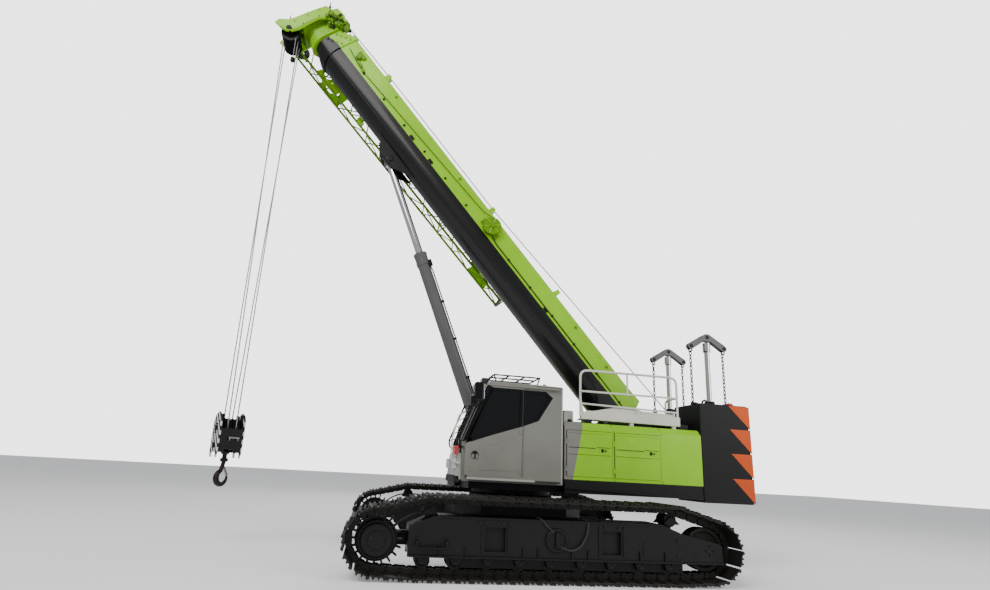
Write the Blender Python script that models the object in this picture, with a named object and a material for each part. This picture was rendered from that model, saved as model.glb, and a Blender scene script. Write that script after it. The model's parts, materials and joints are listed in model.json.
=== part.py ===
"""Telescopic-boom crawler crane of the 60 t class, in metres.

Axes: +X forward, +Y to the machine's left, +Z up. The pieces are measured from the point on the
ground under the slewing axis; the whole machine is then moved along X so that the middle of its
length lies over the origin.
"""

import math

import bmesh
import bpy
from mathutils import Matrix, Vector

# ---------------------------------------------------------------- driving dimensions
GAP = 0.0003            # between faces that touch
RUN = 0.006             # between pieces that move past each other
FINE_SIDES = 20         # flat sides on pins and the holes that they turn in
SIDES = 14              # flat sides on other round pieces

# Undercarriage
TRACK_LENGTH = 5.90
TRACK_GAUGE = 4.40      # between the middles of the two tracks
SHOE_WIDTH = 0.80
SHOE_COUNT = 63
SHOE_PLATE = 0.035
GROUSER = 0.025
LINK_HEIGHT = 0.085
LINK_WIDTH = 0.26
END_WHEEL_Z = 0.50
END_WHEEL_RADIUS = 0.325
CARRIER_X = (1.77, -1.92)
CARRIER_RADIUS = 0.09
TRACK_TOP = 1.14
ROLLER_COUNT = 9
ROLLER_RADIUS = 0.10
ROLLER_REACH = 1.95     # half the distance between the first and the last bottom roller
SIDE_FRAME_WIDTH = 0.50
SIDE_FRAME_TOP = 0.85
SIDE_FRAME_LENGTH = 4.10
SIDE_PLATE = 0.07
HUB_RADIUS = 0.25
CROSS_BEAM_X = (0.83, -0.91)
CROSS_BEAM_WIDTH = 0.35
CROSS_BEAM_HEIGHT = 0.42
CROSS_BEAM_Z = 0.34
CAR_BODY_LENGTH = 2.30
CAR_BODY_WIDTH = 2.00
CAR_BODY_CORNER = 0.40
CAR_BODY_BOTTOM = 0.50
CAR_BODY_TOP = 1.00
SLEW_RADIUS = 0.78
SLEW_HEIGHT = 0.20
SLEW_STEP = 0.04
SLEW_SIDES = 32

# Superstructure
DECK_HEIGHT = 0.22
HALF_WIDTH = 1.495      # from the middle to the face of a housing
HOUSING_FRONT = -0.53
HOUSING_REAR = -3.06
HOUSING_TOP = 2.38
HOUSING_INNER_Y = 0.64
HOUSING_CHAMFER = 0.10
RIGHT_HOUSING_FRONT = 0.85
SHEET = 0.03            # walls and doors of the housings
DOOR_SEAMS = (-0.55, -1.41, -2.30)
DOOR_MARGIN = 0.02       # from a seam to the door's opening
LEAF_Y = (HALF_WIDTH - 0.005, HALF_WIDTH + 0.010)
RAIL_Y = 1.26
RAIL_X = (-2.78, -0.95)
RAIL_MIDDLE = -1.85      # of the post between the two ends
RAIL_Z = (3.33, 2.96)
RAIL_HALF = 0.024
CAB_REAR = -0.493
CAB_FRONT = 1.23
CAB_BOTTOM = 1.314
CAB_TOP = 2.94
CAB_INNER_Y = 0.56
CAB_OUTER_Y = 1.50
CAB_WALL = 0.06
GLASS = 0.008
CAB_DOOR_SEAM = 0.22
WINDSCREEN_RAKE = 0.40
CAB_KNEE = 1.93          # where the windscreen starts to lean back
RIGHT_WINDOW = [(-0.35, 1.95), (CAB_FRONT - 0.14, 1.95), (0.76, 2.83), (-0.35, 2.83)]
SEAM_HALF = 0.03         # half the strip between the door's window and the quarter window
CHEEK = 0.06
TAIL_REAR = -3.90
WINCHES = ((-3.56, 2.30), (-2.95, 2.02))
WINCH_RADIUS = 0.17
WINCH_FLANGE = 0.05      # how far a flange stands over its drum
WINCH_SHAFT = 0.05
LIFT_BEAM_REACH = 0.10   # beyond each lift cylinder's middle
FRAME_TIES = ((-3.30, 1.95), (-1.10, 1.75), (-0.30, 1.50))
ENGINE_X = (-2.55, -1.25)
ENGINE_Y = (-1.30, -0.74)
ENGINE_TOP = 2.18

# Counterweight
WEIGHT_FRONT = -3.10
WEIGHT_REAR = -4.12
WEIGHT_BOTTOM = 1.147
WEIGHT_TOP = 2.885
WEIGHT_HALF_WIDTH = 1.43
WEIGHT_WALL = 0.19      # behind the recess
WEIGHT_CORNER = 0.06
WEIGHT_RECESS_Y = 0.60
WEIGHT_POCKET_Y = 0.86
WEIGHT_POCKET_X = -3.64
EYE_HEIGHT = 0.12        # of the lifting eyes over the counterweight
LIFT_X = -3.797
LIFT_Y = 0.724
LIFT_BARREL_BOTTOM = 1.45
LIFT_BORE_BOTTOM = 1.60
LIFT_ROD_BOTTOM = 2.2
LIFT_BARREL_TOP = 3.03
LIFT_BARREL_RADIUS = 0.085
LIFT_ROD_RADIUS = 0.055
YOKE_Z = 4.275
YOKE_REACH = 0.36
YOKE_DROP = 0.11

# Boom
BOOM_FOOT = (-2.35, 2.50)
BOOM_ANGLE = 49.3
BOOM_REAR = 0.27
BOOM_WIDTH = 0.70
CHEEK_INNER_Y = BOOM_WIDTH / 2 + 0.025  # inner face of the two plates that carry the boom foot
BOOM_DEPTH = 0.86
BOOM_TOP = 0.44         # height of the top plate over the line through the foot pin
BOOM_WALL = 0.012
BOOM_CHAMFER = 0.04
BOOM_ARC_SIDES = 10
SECTION_STEP = 0.08     # each section is this much narrower and less deep than the one around it
SECTION_COUNT = 5
BASE_LENGTH = 9.92
COLLAR_LENGTH = 0.11
COLLAR_STAND = 0.025
FOOT_PIN_RADIUS = 0.09
FOOT_PIN_SIDES = 32
HEAD_START = BASE_LENGTH + SECTION_COUNT * (COLLAR_LENGTH + GAP)
HEAD_HALF_WIDTH = 0.30
HEAD_SHEAVE = (HEAD_START + 0.3585, -0.63)
TOP_SHEAVE = (HEAD_START + 0.2685, 0.44)
SHEAVE_RADIUS = 0.19
ROPE_PITCH_RADIUS = 0.15
SHEAVE_SHAFT = 0.045
ROPE_RADIUS = 0.011
ROPE_SIDES = 6
ROPE_Y = 0.10           # of the two head sheaves, from the middle
JIB_SPAN = (BASE_LENGTH - 6.32, BASE_LENGTH + 1.13)
JIB_Y = (-BOOM_WIDTH / 2 - 0.51, -BOOM_WIDTH / 2 - 0.11)
JIB_N = (-0.30, 0.22)
JIB_BAYS = 8
JIB_TUBE = 0.026
JIB_BRACE = 0.017
JIB_CLAMPS = (BASE_LENGTH - 5.62, BASE_LENGTH - 1.22)
ROPE_GUIDES = (BASE_LENGTH - 6.92, BASE_LENGTH - 4.72, BASE_LENGTH - 1.02)

# Luffing cylinder
LUFF_FOOT = (0.41, 1.60)
LUFF_EYE = (7.33, -0.56)
LUFF_BARREL_LENGTH = 4.42
LUFF_BARREL_RADIUS = 0.125
LUFF_BARREL_WALL = 0.02
LUFF_ROD_RADIUS = 0.08
LUFF_ROD_LENGTH = 4.25
LUFF_PIN_RADIUS = 0.06
LUFF_EYE_WIDTH = 0.18
LUFF_EYE_RADIUS = 0.11
LUFF_PISTON = (2.42, 2.56)

# Hook block
BLOCK_TOP = 2.27
BLOCK_BOTTOM = 1.46
BLOCK_WIDTH = 0.46
BLOCK_TURN = 70.0       # of its sheaves' axis from the machine's Y axis
BLOCK_SPREAD = 0.07      # from the middle to each of its sheaves
HOOK_BOTTOM = 0.97
HOOK_BOWL = 0.115
HOOK_THICKNESS = 0.05

# ---------------------------------------------------------------- sizes that follow from them
TRACK_DEPTH = SHOE_PLATE + GROUSER + LINK_HEIGHT
END_WHEEL_X = TRACK_LENGTH / 2 - END_WHEEL_RADIUS - TRACK_DEPTH
TRACK_Y = TRACK_GAUGE / 2
ROLLER_Z = TRACK_DEPTH + ROLLER_RADIUS
SIDE_FRAME_BOTTOM = ROLLER_Z + 0.06
HINGE_Y = HALF_WIDTH + 0.007
HINGE_RADIUS = 0.0065
HINGE_Z = (1.60, 2.05)
SLEW_BOTTOM = CAR_BODY_TOP + GAP
DECK_BOTTOM = SLEW_BOTTOM + SLEW_HEIGHT + GAP
DECK_TOP = DECK_BOTTOM + DECK_HEIGHT

BOOM_SPACE = (Matrix.Translation((BOOM_FOOT[0], 0, BOOM_FOOT[1]))
              @ Matrix.Rotation(-math.radians(BOOM_ANGLE), 4, "Y"))

# ---------------------------------------------------------------- paint and material values
PAINTS = {
    "lime": ((0.26, 0.55, 0.01, 1), 0.38, 0.0),
    "grey": ((0.22, 0.22, 0.19, 1), 0.45, 0.0),
    "black": ((0.015, 0.016, 0.017, 1), 0.50, 0.0),
    "steel": ((0.05, 0.05, 0.05, 1), 0.55, 0.6),
    "chrome": ((0.75, 0.75, 0.76, 1), 0.12, 1.0),
    "glass": ((0.02, 0.025, 0.03, 1), 0.05, 0.0),
    "rail": ((0.75, 0.75, 0.70, 1), 0.40, 0.0),
    "rope": ((0.10, 0.10, 0.10, 1), 0.60, 0.8),
    "cloth": ((0.03, 0.03, 0.035, 1), 0.90, 0.0),
}
BODIES = {}


def clear_scene():
    for obj in list(bpy.data.objects):
        bpy.data.objects.remove(obj, do_unlink=True)


def paint(name):
    if name in bpy.data.materials:
        return bpy.data.materials[name]
    colour, roughness, metallic = PAINTS[name]
    made = bpy.data.materials.new(name)
    made.use_nodes = True
    shader = made.node_tree.nodes["Principled BSDF"]
    shader.inputs["Base Color"].default_value = colour
    shader.inputs["Roughness"].default_value = roughness
    shader.inputs["Metallic"].default_value = metallic
    return made


def body(name, parent=None, place=(0, 0, 0), space=None):
    """An empty on a body's joint axis. space is the frame that the place is given in."""
    empty = bpy.data.objects.new(name + "_axis", None)
    bpy.context.scene.collection.objects.link(empty)
    matrix = (space or Matrix()) @ Matrix.Translation(place)
    BODIES[name] = (empty, matrix)
    if parent:
        parent_empty, parent_matrix = BODIES[parent]
        empty.parent = parent_empty
        empty.matrix_basis = parent_matrix.inverted() @ matrix
    return empty


# ---------------------------------------------------------------- shapes
def prism(outline, low, high, axis="Y"):
    """A closed outline drawn across an axis and carried along it from low to high."""
    place = {
        "X": lambda a, b, t: (t, a, b),
        "Y": lambda a, b, t: (a, t, b),
        "Z": lambda a, b, t: (a, b, t),
    }[axis]
    shape = bmesh.new()
    near = [shape.verts.new(place(a, b, low)) for a, b in outline]
    far = [shape.verts.new(place(a, b, high)) for a, b in outline]
    shape.faces.new(near)
    shape.faces.new(far)
    for i in range(len(outline)):
        j = (i + 1) % len(outline)
        shape.faces.new((near[i], near[j], far[j], far[i]))
    bmesh.ops.recalc_face_normals(shape, faces=shape.faces)
    return shape


def box(x, y, z):
    return prism([(x[0], z[0]), (x[1], z[0]), (x[1], z[1]), (x[0], z[1])], y[0], y[1])


def loft(rings):
    """Rings with the same number of points, joined in order and closed at both ends."""
    shape = bmesh.new()
    rows = [[shape.verts.new(point) for point in ring] for ring in rings]
    shape.faces.new(rows[0])
    shape.faces.new(rows[-1])
    for row, after in zip(rows, rows[1:]):
        for i in range(len(row)):
            j = (i + 1) % len(row)
            shape.faces.new((row[i], row[j], after[j], after[i]))
    bmesh.ops.recalc_face_normals(shape, faces=shape.faces)
    return shape


def ring_points(centre, along, radius, sides):
    """Points round a centre, in the plane across a direction."""
    along = Vector(along).normalized()
    side = along.cross(Vector((0, 0, 1)) if abs(along.z) < 0.9 else Vector((1, 0, 0))).normalized()
    up = side.cross(along)
    turns = [2 * math.pi * (i + 0.5) / sides for i in range(sides)]
    return [Vector(centre) + radius * (math.cos(t) * side + math.sin(t) * up) for t in turns]


def rod(start, end, radius, sides=SIDES):
    along = Vector(end) - Vector(start)
    return loft([ring_points(start, along, radius, sides), ring_points(end, along, radius, sides)])


def turned(profile, start, along, sides=SIDES):
    """(distance, radius) pairs turned about a line from start."""
    along = Vector(along).normalized()
    return loft([ring_points(Vector(start) + d * along, along, r, sides) for d, r in profile])


def swept(points, radii, sides=8):
    """A bar along points in one plane across Y."""
    rings = []
    for i, point in enumerate(points):
        before = Vector(points[max(i - 1, 0)])
        after = Vector(points[min(i + 1, len(points) - 1)])
        along = (after - before).normalized()
        side = Vector((0, 1, 0))
        up = side.cross(along)
        turns = [2 * math.pi * (k + 0.5) / sides for k in range(sides)]
        rings.append([Vector(point) + radii[i] * (math.cos(t) * side + math.sin(t) * up) for t in turns])
    return loft(rings)


def hole_radius(pin_radius, sides=FINE_SIDES):
    """The corner radius of a hole whose flats clear a pin's corners."""
    return (pin_radius + GAP) / math.cos(math.pi / sides)


def sleeve_radius(rod_radius, sides):
    """The corner radius of a bore round a rod that slides and doesn't turn."""
    return rod_radius + GAP / math.cos(math.pi / sides)


def sheave(centre, along, thickness=0.05, radius=SHEAVE_RADIUS, pitch=ROPE_PITCH_RADIUS):
    """A grooved wheel whose groove is wider than the rope."""
    root = (pitch - ROPE_RADIUS - 2 * GAP) / math.cos(math.pi / SIDES)
    half = thickness / 2
    flat = ROPE_RADIUS + 0.006
    profile = [(-half, radius), (-flat, radius), (-flat, root),
               (flat, root), (flat, radius), (half, radius)]
    return turned(profile, centre, along, SIDES)


def flipped(shape):
    """The same shape on the other side of the machine."""
    other = shape.copy()
    bmesh.ops.scale(other, vec=(1, -1, 1), verts=other.verts)
    bmesh.ops.reverse_faces(other, faces=other.faces)
    return other


def flip_all(shapes):
    return [flipped(shape) for shape in shapes]


def both(shape):
    return [shape, flipped(shape)]


# ---------------------------------------------------------------- nodes
def helper(shape, matrix):
    mesh = bpy.data.meshes.new("helper")
    shape.to_mesh(mesh)
    shape.free()
    mesh.transform(matrix)
    made = bpy.data.objects.new("helper", mesh)
    made.hide_render = True
    made.display_type = "WIRE"
    return made


def combine(obj, shapes, matrix, operation):
    """A Boolean of the object with all the shapes at once."""
    tools = bpy.data.collections.new("tools")
    bpy.context.scene.collection.children.link(tools)
    for shape in shapes:
        tools.objects.link(helper(shape, matrix))
    modifier = obj.modifiers.new(operation, "BOOLEAN")
    modifier.operation = operation
    modifier.operand_type = "COLLECTION"
    modifier.collection = tools
    modifier.solver = "EXACT"
    bpy.context.view_layer.update()
    evaluated = obj.evaluated_get(bpy.context.evaluated_depsgraph_get())
    mesh = bpy.data.meshes.new_from_object(evaluated)
    obj.modifiers.clear()
    obj.data = mesh
    for tool in list(tools.objects):
        bpy.data.objects.remove(tool, do_unlink=True)
    bpy.data.collections.remove(tools)


def node(name, owner, colour, add, cut=(), space=None):
    """One named solid: the shapes added, then the cuts taken away, kept in its body's own frame."""
    empty, matrix = BODIES[owner]
    local = matrix.inverted() @ (space or Matrix())
    obj = helper(add[0], local)
    obj.name = name
    obj.hide_render = False
    obj.display_type = "TEXTURED"
    bpy.context.scene.collection.objects.link(obj)
    if len(add) > 1:
        combine(obj, add[1:], local, "UNION")
    if cut:
        combine(obj, cut, local, "DIFFERENCE")
    obj.data.name = name
    obj.data.materials.clear()
    obj.data.materials.append(paint(colour))
    obj.parent = empty
    return obj


# ---------------------------------------------------------------- undercarriage
def belt(circles):
    """A line round circles in the XZ plane, anticlockwise: its point, and the way out, at any length."""
    parts = []
    count = len(circles)
    tangents = []
    for i in range(count):
        (x1, z1, r1), (x2, z2, r2) = circles[i], circles[(i + 1) % count]
        length = math.hypot(x2 - x1, z2 - z1)
        heading = math.atan2(z2 - z1, x2 - x1)
        tangents.append(heading - math.acos((r1 - r2) / length))
    for i in range(count):
        x, z, radius = circles[i]
        start, end = tangents[i - 1], tangents[i]
        sweep = (end - start) % (2 * math.pi)
        if radius > 0 and sweep > 1e-6:
            parts.append((radius * sweep, "arc", (x, z, radius, start)))
        x2, z2, r2 = circles[(i + 1) % count]
        first = (x + radius * math.cos(end), z + radius * math.sin(end))
        last = (x2 + r2 * math.cos(end), z2 + r2 * math.sin(end))
        parts.append((math.dist(first, last), "line", (first, last, end)))
    total = sum(part[0] for part in parts)

    def at(share):
        left = (share % 1) * total
        for length, kind, values in parts:
            if left <= length:
                break
            left -= length
        if kind == "arc":
            x, z, radius, start = values
            turn = start + left / radius
            return (x + radius * math.cos(turn), z + radius * math.sin(turn)), turn
        first, last, turn = values
        share_of_line = left / length
        point = [a + (b - a) * share_of_line for a, b in zip(first, last)]
        return point, turn

    return at


def track_path():
    carrier_z = TRACK_TOP - TRACK_DEPTH - CARRIER_RADIUS
    return belt([
        (END_WHEEL_X, END_WHEEL_Z, END_WHEEL_RADIUS),
        (CARRIER_X[0], carrier_z, CARRIER_RADIUS),
        (CARRIER_X[1], carrier_z, CARRIER_RADIUS),
        (-END_WHEEL_X, END_WHEEL_Z, END_WHEEL_RADIUS),
        (-ROLLER_REACH, ROLLER_Z, ROLLER_RADIUS),
        (ROLLER_REACH, ROLLER_Z, ROLLER_RADIUS),
    ])


def closed_band(outer, inner, low, high):
    """A ring between two outlines of the same number of points, from low to high along Y."""
    shape = bmesh.new()
    rows = [[shape.verts.new((x, y, z)) for x, z in line]
            for line, y in ((outer, low), (outer, high), (inner, high), (inner, low))]
    for row, after in zip(rows, rows[1:] + rows[:1]):
        for i in range(len(row)):
            j = (i + 1) % len(row)
            shape.faces.new((row[i], row[j], after[j], after[i]))
    bmesh.ops.recalc_face_normals(shape, faces=shape.faces)
    return shape


def track():
    """One closed loop: grousered shoes outside and the link chain inside."""
    at = track_path()

    def offset(share, distance):
        (x, z), turn = at(share)
        return x + distance * math.cos(turn), z + distance * math.sin(turn)

    plate, ridge = LINK_HEIGHT + SHOE_PLATE, TRACK_DEPTH
    shoe = ((0.0, plate), (0.40, ridge), (0.60, ridge))
    outer = [offset((i + step) / SHOE_COUNT, height) for i in range(SHOE_COUNT) for step, height in shoe]
    under = [offset((i + step) / SHOE_COUNT, LINK_HEIGHT) for i in range(SHOE_COUNT) for step, _ in shoe]
    inner = [offset(i / SHOE_COUNT / 2, GAP) for i in range(2 * SHOE_COUNT)]
    rise = [offset(i / SHOE_COUNT / 2, LINK_HEIGHT + 0.01) for i in range(2 * SHOE_COUNT)]
    half, link = SHOE_WIDTH / 2, LINK_WIDTH / 2
    return [closed_band(outer, under, TRACK_Y - half, TRACK_Y + half),
            closed_band(rise, inner, TRACK_Y - link, TRACK_Y + link)]


def side_frame():
    inner, outer = TRACK_Y - SIDE_FRAME_WIDTH / 2, TRACK_Y + SIDE_FRAME_WIDTH / 2
    end = SIDE_FRAME_LENGTH / 2
    carrier_z = TRACK_TOP - TRACK_DEPTH - CARRIER_RADIUS
    low = SIDE_FRAME_BOTTOM
    beam = prism([(-end, low), (end, low), (end, 0.70), (end - 0.35, SIDE_FRAME_TOP),
                  (-end + 0.35, SIDE_FRAME_TOP), (-end, 0.72)], inner, outer)
    arms = [box((sign * (end - 0.1), sign * (END_WHEEL_X + 0.12))[::sign], wall, (0.40, 0.60))
            for sign in (1, -1) for wall in ((inner, inner + SIDE_PLATE), (outer - SIDE_PLATE, outer))
            if sign < 0 or wall[0] == inner]
    carriers = []
    for x in CARRIER_X:
        carriers.append(rod((x, TRACK_Y - 0.12, carrier_z), (x, TRACK_Y + 0.12, carrier_z),
                            CARRIER_RADIUS - 0.0012, 12))
        carriers.append(box((x - 0.05, x + 0.05), (TRACK_Y - 0.05, TRACK_Y + 0.05),
                            (SIDE_FRAME_TOP - 0.15, carrier_z)))
    pockets = [box((x - CROSS_BEAM_WIDTH / 2 + 0.03, x + CROSS_BEAM_WIDTH / 2 - 0.03),
                   (outer - 0.06, outer + 0.05),
                   (CROSS_BEAM_Z + 0.06, CROSS_BEAM_Z + CROSS_BEAM_HEIGHT - 0.04)) for x in CROSS_BEAM_X]
    channel = box((-ROLLER_REACH - 0.16, ROLLER_REACH + 0.16), (TRACK_Y - 0.185, TRACK_Y + 0.185),
                  (low - 0.05, ROLLER_Z + ROLLER_RADIUS + RUN))
    return [beam] + arms + carriers, pockets + [channel]


def roller_row():
    """The bottom rollers, held by a bar along each side."""
    gap_to_frame = SIDE_FRAME_BOTTOM - GAP
    made = []
    for side in (-1, 1):
        y = TRACK_Y + side * 0.19
        made.append(box((-ROLLER_REACH - 0.08, ROLLER_REACH + 0.08), (y - 0.025, y + 0.025),
                        (ROLLER_Z - 0.03, gap_to_frame)))
    for i in range(ROLLER_COUNT):
        x = (ROLLER_REACH - 0.12) * (2 * i / (ROLLER_COUNT - 1) - 1)
        radius = (ROLLER_RADIUS - 2 * GAP) / math.cos(math.pi / 12)
        made.append(rod((x, TRACK_Y - 0.18, ROLLER_Z), (x, TRACK_Y + 0.18, ROLLER_Z), radius, 12))
    return made


def end_wheel(x, width, hub_out):
    """A wheel inside the loop, smaller by what the chain's straight chords cut in."""
    radius = END_WHEEL_RADIUS - 0.012
    inner = TRACK_Y - SIDE_FRAME_WIDTH / 2 + SIDE_PLATE + GAP
    along = (0, 1, 0)
    wheel = turned([(-width / 2, radius - 0.03), (-width / 4, radius), (width / 4, radius),
                    (width / 2, radius - 0.03)], (x, TRACK_Y, END_WHEEL_Z), along, 24)
    hub = rod((x, inner, END_WHEEL_Z), (x, hub_out, END_WHEEL_Z), 0.12)
    return wheel, hub


def make_undercarriage():
    for side in ("l", "r"):
        turn = list if side == "l" else flip_all
        outer = TRACK_Y + SIDE_FRAME_WIDTH / 2
        node("track_" + side, "undercarriage", "black", turn(track()))
        beam, pockets = side_frame()
        node("track_frame_" + side, "undercarriage", "black", turn(beam), turn(pockets))
        node("track_rollers_" + side, "undercarriage", "steel", turn(roller_row()))
        wheel, hub = end_wheel(END_WHEEL_X, 0.08, TRACK_Y + 0.1)
        drive = turned([(0, HUB_RADIUS), (0.18, HUB_RADIUS), (0.20, HUB_RADIUS - 0.03)],
                       (END_WHEEL_X, TRACK_Y + 0.03, END_WHEEL_Z), (0, 1, 0), 20)
        cap = rod((END_WHEEL_X, TRACK_Y + 0.2, END_WHEEL_Z), (END_WHEEL_X, TRACK_Y + 0.26, END_WHEEL_Z), 0.16)
        node("drive_sprocket_" + side, "undercarriage", "black", turn([wheel, hub, drive, cap]))
        wheel, hub = end_wheel(-END_WHEEL_X, 0.20, outer - SIDE_PLATE - GAP)
        node("idler_" + side, "undercarriage", "black", turn([wheel, hub]))
    reach = TRACK_Y - SIDE_FRAME_WIDTH / 2 - GAP
    body_x, body_y, cut = CAR_BODY_LENGTH / 2, CAR_BODY_WIDTH / 2, CAR_BODY_CORNER
    centre = prism([(-body_x, -body_y + cut), (-body_x + cut, -body_y), (body_x - cut, -body_y),
                    (body_x, -body_y + cut), (body_x, body_y - cut), (body_x - cut, body_y),
                    (-body_x + cut, body_y), (-body_x, body_y - cut)], CAR_BODY_BOTTOM, CAR_BODY_TOP, "Z")
    beams = [box((x - CROSS_BEAM_WIDTH / 2, x + CROSS_BEAM_WIDTH / 2), (-reach, reach),
                 (CROSS_BEAM_Z, CROSS_BEAM_Z + CROSS_BEAM_HEIGHT)) for x in CROSS_BEAM_X]
    node("car_body", "undercarriage", "black", [centre] + beams)
    half, narrow = SLEW_HEIGHT / 2, SLEW_RADIUS - SLEW_STEP
    profile = [(0, SLEW_RADIUS), (half - 0.01, SLEW_RADIUS), (half, narrow), (SLEW_HEIGHT, narrow)]
    node("slew_ring", "undercarriage", "steel",
         [turned(profile, (0, 0, SLEW_BOTTOM), (0, 0, 1), SLEW_SIDES)])


# ---------------------------------------------------------------- superstructure
def cheek_outline():
    x, z = BOOM_FOOT
    return [(TAIL_REAR, DECK_TOP - 0.05), (TAIL_REAR, 2.05), (-3.15, 2.30), (x - 0.28, z + 0.22),
            (x - 0.12, z + 0.30), (x + 0.16, z + 0.30), (x + 0.34, z + 0.16), (x + 0.9, 2.10),
            (0.0, 1.90), (LUFF_FOOT[0] + 0.25, 1.85), (LUFF_FOOT[0] + 0.45, 1.62), (0.95, DECK_TOP - 0.05)]


def make_revolving_frame():
    deck = prism([(HOUSING_REAR, -HALF_WIDTH + 0.03), (0.95, -HALF_WIDTH + 0.03), (0.95, -0.45),
                  (1.15, -0.45), (1.15, 0.45), (0.95, 0.45), (0.95, CAB_INNER_Y - 0.06),
                  (HOUSING_FRONT - 0.02, CAB_INNER_Y - 0.06), (HOUSING_FRONT - 0.02, HALF_WIDTH - 0.03),
                  (HOUSING_REAR, HALF_WIDTH - 0.03)], DECK_BOTTOM, DECK_TOP, "Z")
    tail = box((TAIL_REAR, HOUSING_REAR + 0.1), (-CHEEK_INNER_Y - CHEEK, CHEEK_INNER_Y + CHEEK),
               (DECK_BOTTOM, DECK_TOP))
    cab_arm = box((-0.56, 1.05), (0.45, 1.30), (DECK_BOTTOM, CAB_BOTTOM - GAP))
    walls = [prism(cheek_outline(), CHEEK_INNER_Y, CHEEK_INNER_Y + CHEEK)]
    walls.append(flipped(walls[0]))
    reach = LIFT_Y + LIFT_BEAM_REACH
    face = LIFT_X + LIFT_BARREL_RADIUS
    lift_beams = [box((LIFT_X - 0.09, LIFT_X + 0.09), (-reach, reach), (1.25, LIFT_BARREL_BOTTOM - GAP)),
                  box((face + GAP, face + 0.04), (-reach, reach), (1.85, 2.0))]
    cross = [box((x - 0.04, x + 0.04), (-CHEEK_INNER_Y - 0.02, CHEEK_INNER_Y + 0.02), (DECK_TOP - 0.02, top))
             for x, top in FRAME_TIES]
    ear_low = LUFF_EYE_WIDTH / 2 + GAP
    x, z = LUFF_FOOT
    ear = [(x - 0.30, DECK_TOP - 0.02), (x + 0.16, DECK_TOP - 0.02),
           (x + 0.10, z + 0.12), (x - 0.10, z + 0.12)]
    ears = both(prism(ear, ear_low, ear_low + 0.05))
    pin = hole_radius(FOOT_PIN_RADIUS, FOOT_PIN_SIDES)
    eye = hole_radius(LUFF_PIN_RADIUS)
    holes = [rod((BOOM_FOOT[0], -0.6, BOOM_FOOT[1]), (BOOM_FOOT[0], 0.6, BOOM_FOOT[1]), pin,
                 FOOT_PIN_SIDES),
             rod((x, -0.3, z), (x, 0.3, z), eye, FINE_SIDES)]
    holes += [rod((wx, -0.6, wz), (wx, 0.6, wz), hole_radius(WINCH_SHAFT), FINE_SIDES) for wx, wz in WINCHES]
    shapes = [deck, tail, cab_arm] + walls + lift_beams + cross + ears + winch_cheeks()
    node("revolving_frame", "superstructure", "black", shapes, holes)


def winch_cheeks():
    """Ears above the tail plates that carry the rear winch."""
    x, z = WINCHES[0]
    ear = [(x - 0.30, 1.9), (x + 0.30, 1.9), (x + 0.12, z + 0.14), (x - 0.12, z + 0.14)]
    return both(prism(ear, CHEEK_INNER_Y, CHEEK_INNER_Y + CHEEK))


def make_winches():
    for name, (x, z) in zip(("winch_drum_rear", "winch_drum_front"), WINCHES):
        width = CHEEK_INNER_Y - RUN
        rim = WINCH_RADIUS + WINCH_FLANGE
        profile = [(0, rim), (SHEET, rim), (SHEET, WINCH_RADIUS), (2 * width - SHEET, WINCH_RADIUS),
                   (2 * width - SHEET, rim), (2 * width, rim)]
        drum = turned(profile, (x, -width, z), (0, 1, 0), SIDES)
        reach = CHEEK_INNER_Y + CHEEK
        shaft = rod((x, -reach, z), (x, reach, z), WINCH_SHAFT, FINE_SIDES)
        node(name, name, "steel", [drum, shaft])


def housing_profile(inset=0.0):
    """The housing across the machine: an upright face with a chamfer under the roof."""
    outer, top, cut = HALF_WIDTH - inset, HOUSING_TOP - inset, HOUSING_CHAMFER
    inner, low = HOUSING_INNER_Y + inset, DECK_TOP + GAP - (0.02 if inset else 0)
    return [(inner, low), (outer, low), (outer, top - cut), (outer - cut, top), (inner, top)]


def make_housings():
    bottom, top = DECK_TOP + 0.05, HOUSING_TOP - HOUSING_CHAMFER - 0.04
    spans = [(DOOR_SEAMS[1], DOOR_SEAMS[0]), (DOOR_SEAMS[2], DOOR_SEAMS[1])]
    for side, front in (("left", HOUSING_FRONT), ("right", RIGHT_HOUSING_FRONT)):
        turn = list if side == "left" else flip_all
        shell = prism(housing_profile(), HOUSING_REAR, front, "X")
        cuts = [prism(housing_profile(SHEET), HOUSING_REAR + SHEET, front - SHEET, "X")]
        for rear, fore in spans:
            across = (HALF_WIDTH - 0.2, HALF_WIDTH + 0.1)
            cuts.append(box((rear + DOOR_MARGIN, fore - DOOR_MARGIN), across, (bottom, top)))
        leaves = []
        for _, fore in spans:
            x = fore - DOOR_MARGIN - RUN
            for z in HINGE_Z:
                leaves.append(rod((x, HINGE_Y, z - 0.05), (x, HINGE_Y, z - GAP), HINGE_RADIUS, 8))
                leaves.append(box((x + 0.002, x + 0.04), LEAF_Y, (z - 0.05, z - GAP)))
        node(side + "_housing", "superstructure", "lime", turn([shell] + leaves), turn(cuts))
        for name, (rear, fore) in zip(("front", "rear"), spans):
            door = f"{side}_hood_door_{name}"
            hinge_x = fore - DOOR_MARGIN - RUN
            panel = box((rear + DOOR_MARGIN + RUN, hinge_x), (HALF_WIDTH - SHEET, HALF_WIDTH),
                        (bottom + RUN, top - RUN))
            knuckle = []
            for z in HINGE_Z:
                knuckle.append(rod((hinge_x, HINGE_Y, z), (hinge_x, HINGE_Y, z + 0.08), HINGE_RADIUS, 8))
                knuckle.append(box((hinge_x - 0.04, hinge_x - 0.002), LEAF_Y, (z, z + 0.08)))
            node(door, door, "lime", turn([panel] + knuckle))
    node("engine", "superstructure", "steel", [box(ENGINE_X, ENGINE_Y, (DECK_TOP + GAP, ENGINE_TOP))])


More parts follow.
